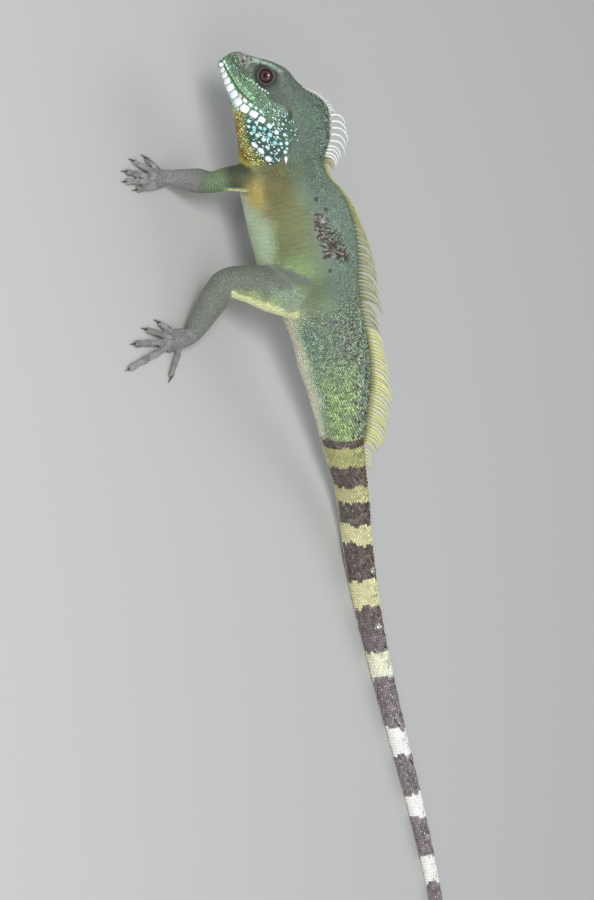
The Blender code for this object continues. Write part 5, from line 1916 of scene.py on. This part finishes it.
def claws(leg, material):
    """The curved claws of one paw."""
    points = []
    faces = []
    colours = []
    for i, size in enumerate(leg.digits):
        base, way = digit_root(leg, i)
        finger = size.length - CLAW
        side = np.cross(way, UP)
        faces += spike_triangles(len(points), len(CLAW_RINGS), CLAW_SIDES)
        for ahead, share, radius in CLAW_RINGS:
            middle = base + way * (finger + ahead)
            middle[2] = size.radius * share - FLOOR_SINK + 0.35
            upright = np.array([0, 0, radius * 1.15])
            points.extend(ring_of(middle, side * radius * 0.75, upright, CLAW_SIDES))
            colours.extend([TONES["horn"] * (0.7 + 0.4 * max(ahead, 0) / CLAW)] * CLAW_SIDES)
        tip = base + way * (finger + CLAW + 0.2)
        tip[2] = 0.12
        points.append(tip)
        colours.append(TONES["horn"] * 1.2)
    points = np.array(points)
    points[:, 2] = np.maximum(points[:, 2], 0.03)
    return outward(f"claws_{leg.name}_{leg.side}", points, faces, colours, material)


def iris_colours(ring, turns, degrees):
    """The colours of a ring of the eyeball, with the pupil, the glow round it, the iris and its dark rim."""
    spokes = np.column_stack([np.cos(turns) * 9, np.sin(turns) * 9, np.full(EYE_SIDES, degrees / 9)])
    streak = 1 + 0.22 * cloud(spokes, 0.8, 16)
    iris = tone(72, 48, 46) * (1 - ease(degrees, 22, 36)) + tone(44, 32, 32) * ease(degrees, 22, 36)
    glow = tone(134, 88, 80) * hump(degrees - 17.5, 2.2) * 0.25
    colour = (iris + glow)[None] * streak[:, None]
    blotch = cloud(ring, 1.3, 26)[:, None] * ease(degrees, 34, 26)
    colour = colour * (1 + 0.35 * blotch) * (1 - 0.8 * ease(degrees, 17.0, 12.5))
    return colour * (1 - 0.8 * ease(degrees, 36, 44))


def eye_piece(side, name, material):
    """An eyeball with its cornea, iris and pupil."""
    middle = eye_middle(side)
    axis = HEAD_LEFT * side
    third = np.cross(axis, HEAD_BACK)
    turns = np.arange(EYE_SIDES) * 2 * math.pi / EYE_SIDES
    rings = []
    colours = []
    for tilt in np.radians(np.concatenate([np.linspace(1.5, 60, 50), np.linspace(64, 178, 22)])):
        reach = EYEBALL + 0.45 * float(ease(math.degrees(tilt), 46, 20))
        flat = reach * math.sin(tilt)
        ring = ring_of(middle + axis * reach * math.cos(tilt), HEAD_BACK * flat, third * flat, EYE_SIDES)
        rings.append(ring)
        colours.append(iris_colours(ring, turns, math.degrees(tilt)))
    last = (len(rings) - 1) * EYE_SIDES
    faces = []
    for start in range(0, last, EYE_SIDES):
        faces += band_triangles(start, start + EYE_SIDES, EYE_SIDES)
    for j in range(1, EYE_SIDES - 1):
        faces.append((0, j + 1, j))
        faces.append((last, last + j, last + j + 1))
    return outward(name, np.vstack(rings), faces, np.vstack(colours), material)


def lids(side, name, material):
    """The ring of lid skin round an eye, in concentric folds, closed behind."""
    middle = eye_middle(side)
    axis = HEAD_LEFT * side
    third = np.cross(axis, HEAD_BACK)
    turns = np.arange(LID_SIDES) * 2 * math.pi / LID_SIDES
    around = np.cos(turns)[:, None] * HEAD_BACK + np.sin(turns)[:, None] * third
    base = TONES["lid"] * 0.75 + TONES["lid_rim"] * 0.25
    rings = []
    colours = []
    faces = []
    for i, (degrees, reach, shade) in enumerate(LID_FOLDS):
        oval = 1 + 0.035 * np.cos(2 * turns) * (degrees < 60)
        tilt = np.radians(degrees * oval)
        wave = reach + 0.06 * np.sin(turns * 9 + degrees * 0.2) * (degrees > 44)
        direction = np.cos(tilt)[:, None] * axis + np.sin(tilt)[:, None] * around
        rings.append(middle + direction * wave[:, None])
        colours.append(np.tile(base * shade, (LID_SIDES, 1)))
        following = (i + 1) % len(LID_FOLDS)
        faces += band_triangles(i * LID_SIDES, following * LID_SIDES, LID_SIDES)
    return outward(name, np.vstack(rings), faces, np.vstack(colours), material)


def pale_floor():
    """A plain floor that isn't part of the model."""
    size = FLOOR_SIZE
    corners = [(-size, -size, 0), (size, -size, 0), (size, size, 0), (-size, size, 0)]
    mesh = bpy.data.meshes.new("floor")
    mesh.from_pydata(corners, [], [(0, 1, 2, 3)])
    floor = in_scene("floor", mesh)
    pale = bpy.data.materials.new("pale_floor")
    pale.use_nodes = True
    set_inputs(pale.node_tree.nodes["Principled BSDF"], {"Base Color": FLOOR_COLOUR, "Roughness": 0.9})
    mesh.materials.append(pale)


def lights():
    """Soft light from the sky and from three lamps."""
    world = bpy.data.worlds.new("studio")
    world.use_nodes = True
    set_inputs(world.node_tree.nodes["Background"], {"Color": SKY_COLOUR, "Strength": SKY_STRENGTH})
    bpy.context.scene.world = world
    bpy.context.scene.view_settings.view_transform = "Standard"
    for name, place, size, power in LAMPS:
        data = bpy.data.lights.new(name, "AREA")
        data.energy = power
        data.size = size
        lamp = in_scene(name, data)
        lamp.location = place
        lamp.rotation_mode = "QUATERNION"
        lamp.rotation_quaternion = (Vector(LAMP_TARGET) - Vector(place)).to_track_quat("-Z", "Y")


def camera():
    """The photograph's view: from the lizard's left and above, with the head at the top of the picture."""
    down = math.radians(CAMERA_DOWN)
    tip = math.radians(CAMERA_TIP)
    behind = np.array([1.0, 0, 0])
    over = np.array([0, math.sin(down), math.cos(down)])
    look = np.array([0, math.cos(down), -math.sin(down)])
    right = math.sin(tip) * behind + math.cos(tip) * over
    top = -math.cos(tip) * behind + math.sin(tip) * over
    data = bpy.data.cameras.new("camera")
    data.lens = CAMERA_LENS
    data.sensor_width = CAMERA_SENSOR
    data.clip_start = CAMERA_CLIP
    made = in_scene("camera", data)
    place = Matrix((right, top, -look)).transposed().to_4x4()
    place.translation = Vector(np.array(CAMERA_TARGET) + SHIFT - look * CAMERA_DISTANCE)
    made.matrix_world = place
    bpy.context.scene.camera = made


def grown_skin():
    """The skin of the whole animal, carved, creased and coloured."""
    lofts = [body_loft(), head_loft()]
    for leg in LEGS:
        lofts.append(limb_loft(leg))
        lofts.append(sole_loft(leg))
        lofts += [digit_loft(leg, i) for i in range(len(leg.digits))]
    for side, name in ((1, "lid_left"), (-1, "lid_right")):
        lofts.append(ball_loft(name, eye_middle(side), LID, HEAD_LEFT, HEAD_BACK))
    skin = Skin(lofts)
    print("skin", len(skin.points), "points")
    carve_head(skin)
    crease_body(skin)
    colour_skin(skin)
    return skin


def taken(rows):
    """The spots that the scales of a lattice take up, with the spacing there."""
    return rows[:, [0, 1, 2, GAP]].tolist()


def body_scales(skin, tree, material):
    """The coats of scales of neck, trunk and tail, and the spots they take up."""
    rows = lattice_on(skin, tree, skin.lofts["body"], BODY_PATTERN)
    left = rows[:, TURN] < 180
    halves = {"left": left, "right": ~left, "both": left | ~left}
    for coat in COATS:
        mine = halves[coat.half] & (rows[:, PLACE] >= coat.start) & (rows[:, PLACE] < coat.end)
        row_scales(skin, tree, rows[mine], coat.name, coat.slot, BODY_HEIGHT, BODY_KEELS, material)
    return taken(rows)


def leg_scales(skin, tree, limb, material):
    """The scales of one leg and its paw, and the spots they take up."""
    rows = lattice_on(skin, tree, limb, LEG_PATTERN)
    placed = taken(rows)
    row_scales(skin, tree, rows, f"{limb.name}_leg_scales", "leg_skin", LEG_HEIGHT, LEG_KEELS, material)
    paw = Scales(f"{limb.name}_paw_scales", skin, tree, "leg_skin")
    parts = [name for name in skin.names if name.startswith(limb.name + "_")]
    for number, part in enumerate(parts):
        loft = skin.lofts[part]
        rows = lattice_on(skin, tree, loft, PAW_PATTERN)
        placed += taken(rows)
        size = 1 + RANDOM.normal(0, 0.06, len(rows))
        sizes = np.column_stack([rows[:, STEP] * 0.62 * size, rows[:, GAP] * 0.57 * size, PAW_HEIGHT * size])
        share = rows[:, PLACE] / loft.places[-1]
        uv = inside_uv((number + 0.1 + 0.8 * share) / len(parts), rows[:, TURN] / 360)
        shape = KEEL if "digit" in part else GRANULE
        paw.add(shape, rows[:, :3], rows[:, 3:6], sizes, 0.0, 1.0, uv)
    paw.make(material)
    return placed


def build():
    skin = grown_skin()
    tree = tree_of(skin.points)
    hide = coloured("hide", roughness=0.62, bump=0.25, grain=1500, fine=0.1)
    scale = coloured("scale", roughness=0.5, bump=0.12, grain=1100, coat=0.06, fine=0.08)
    horn = coloured("horn", roughness=0.35, bump=0.1, grain=900, coat=0.2)
    blade = coloured("blade", roughness=0.45, bump=0.15, grain=1200, coat=0.08, fine=0.14)
    wet = coloured("wet_eye", roughness=0.3, bump=0.0, grain=700, coat=1.0, fine=0.1, gloss=0.1)
    # The skin's colour darkened by the painted shade of the gaps between its scales.
    gap_shaded_colour = skin.look[:, :3] * skin.look[:, 3:4]
    piece = solid_piece("skin", skin.points, skin.quads, gap_shaded_colour, hide)
    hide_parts(*[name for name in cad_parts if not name.startswith("eye")])
    placed = body_scales(skin, tree, scale)
    for leg in LEGS:
        placed += leg_scales(skin, tree, skin.lofts[f"{leg.name}_{leg.side}"], scale)
        claws(leg, horn)
    placed += head_scales(skin, tree, scale)
    fold_scales(skin, tree, np.array(placed), scale)
    crest_spines(blade)
    for side, name in ((1, "left"), (-1, "right")):
        eye = eye_piece(side, f"eyeball_{name}", wet)
        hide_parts(f"eye_{name}")
        lids(side, f"lids_{name}", hide)
    camera()
    pale_floor()
    lights()


build()
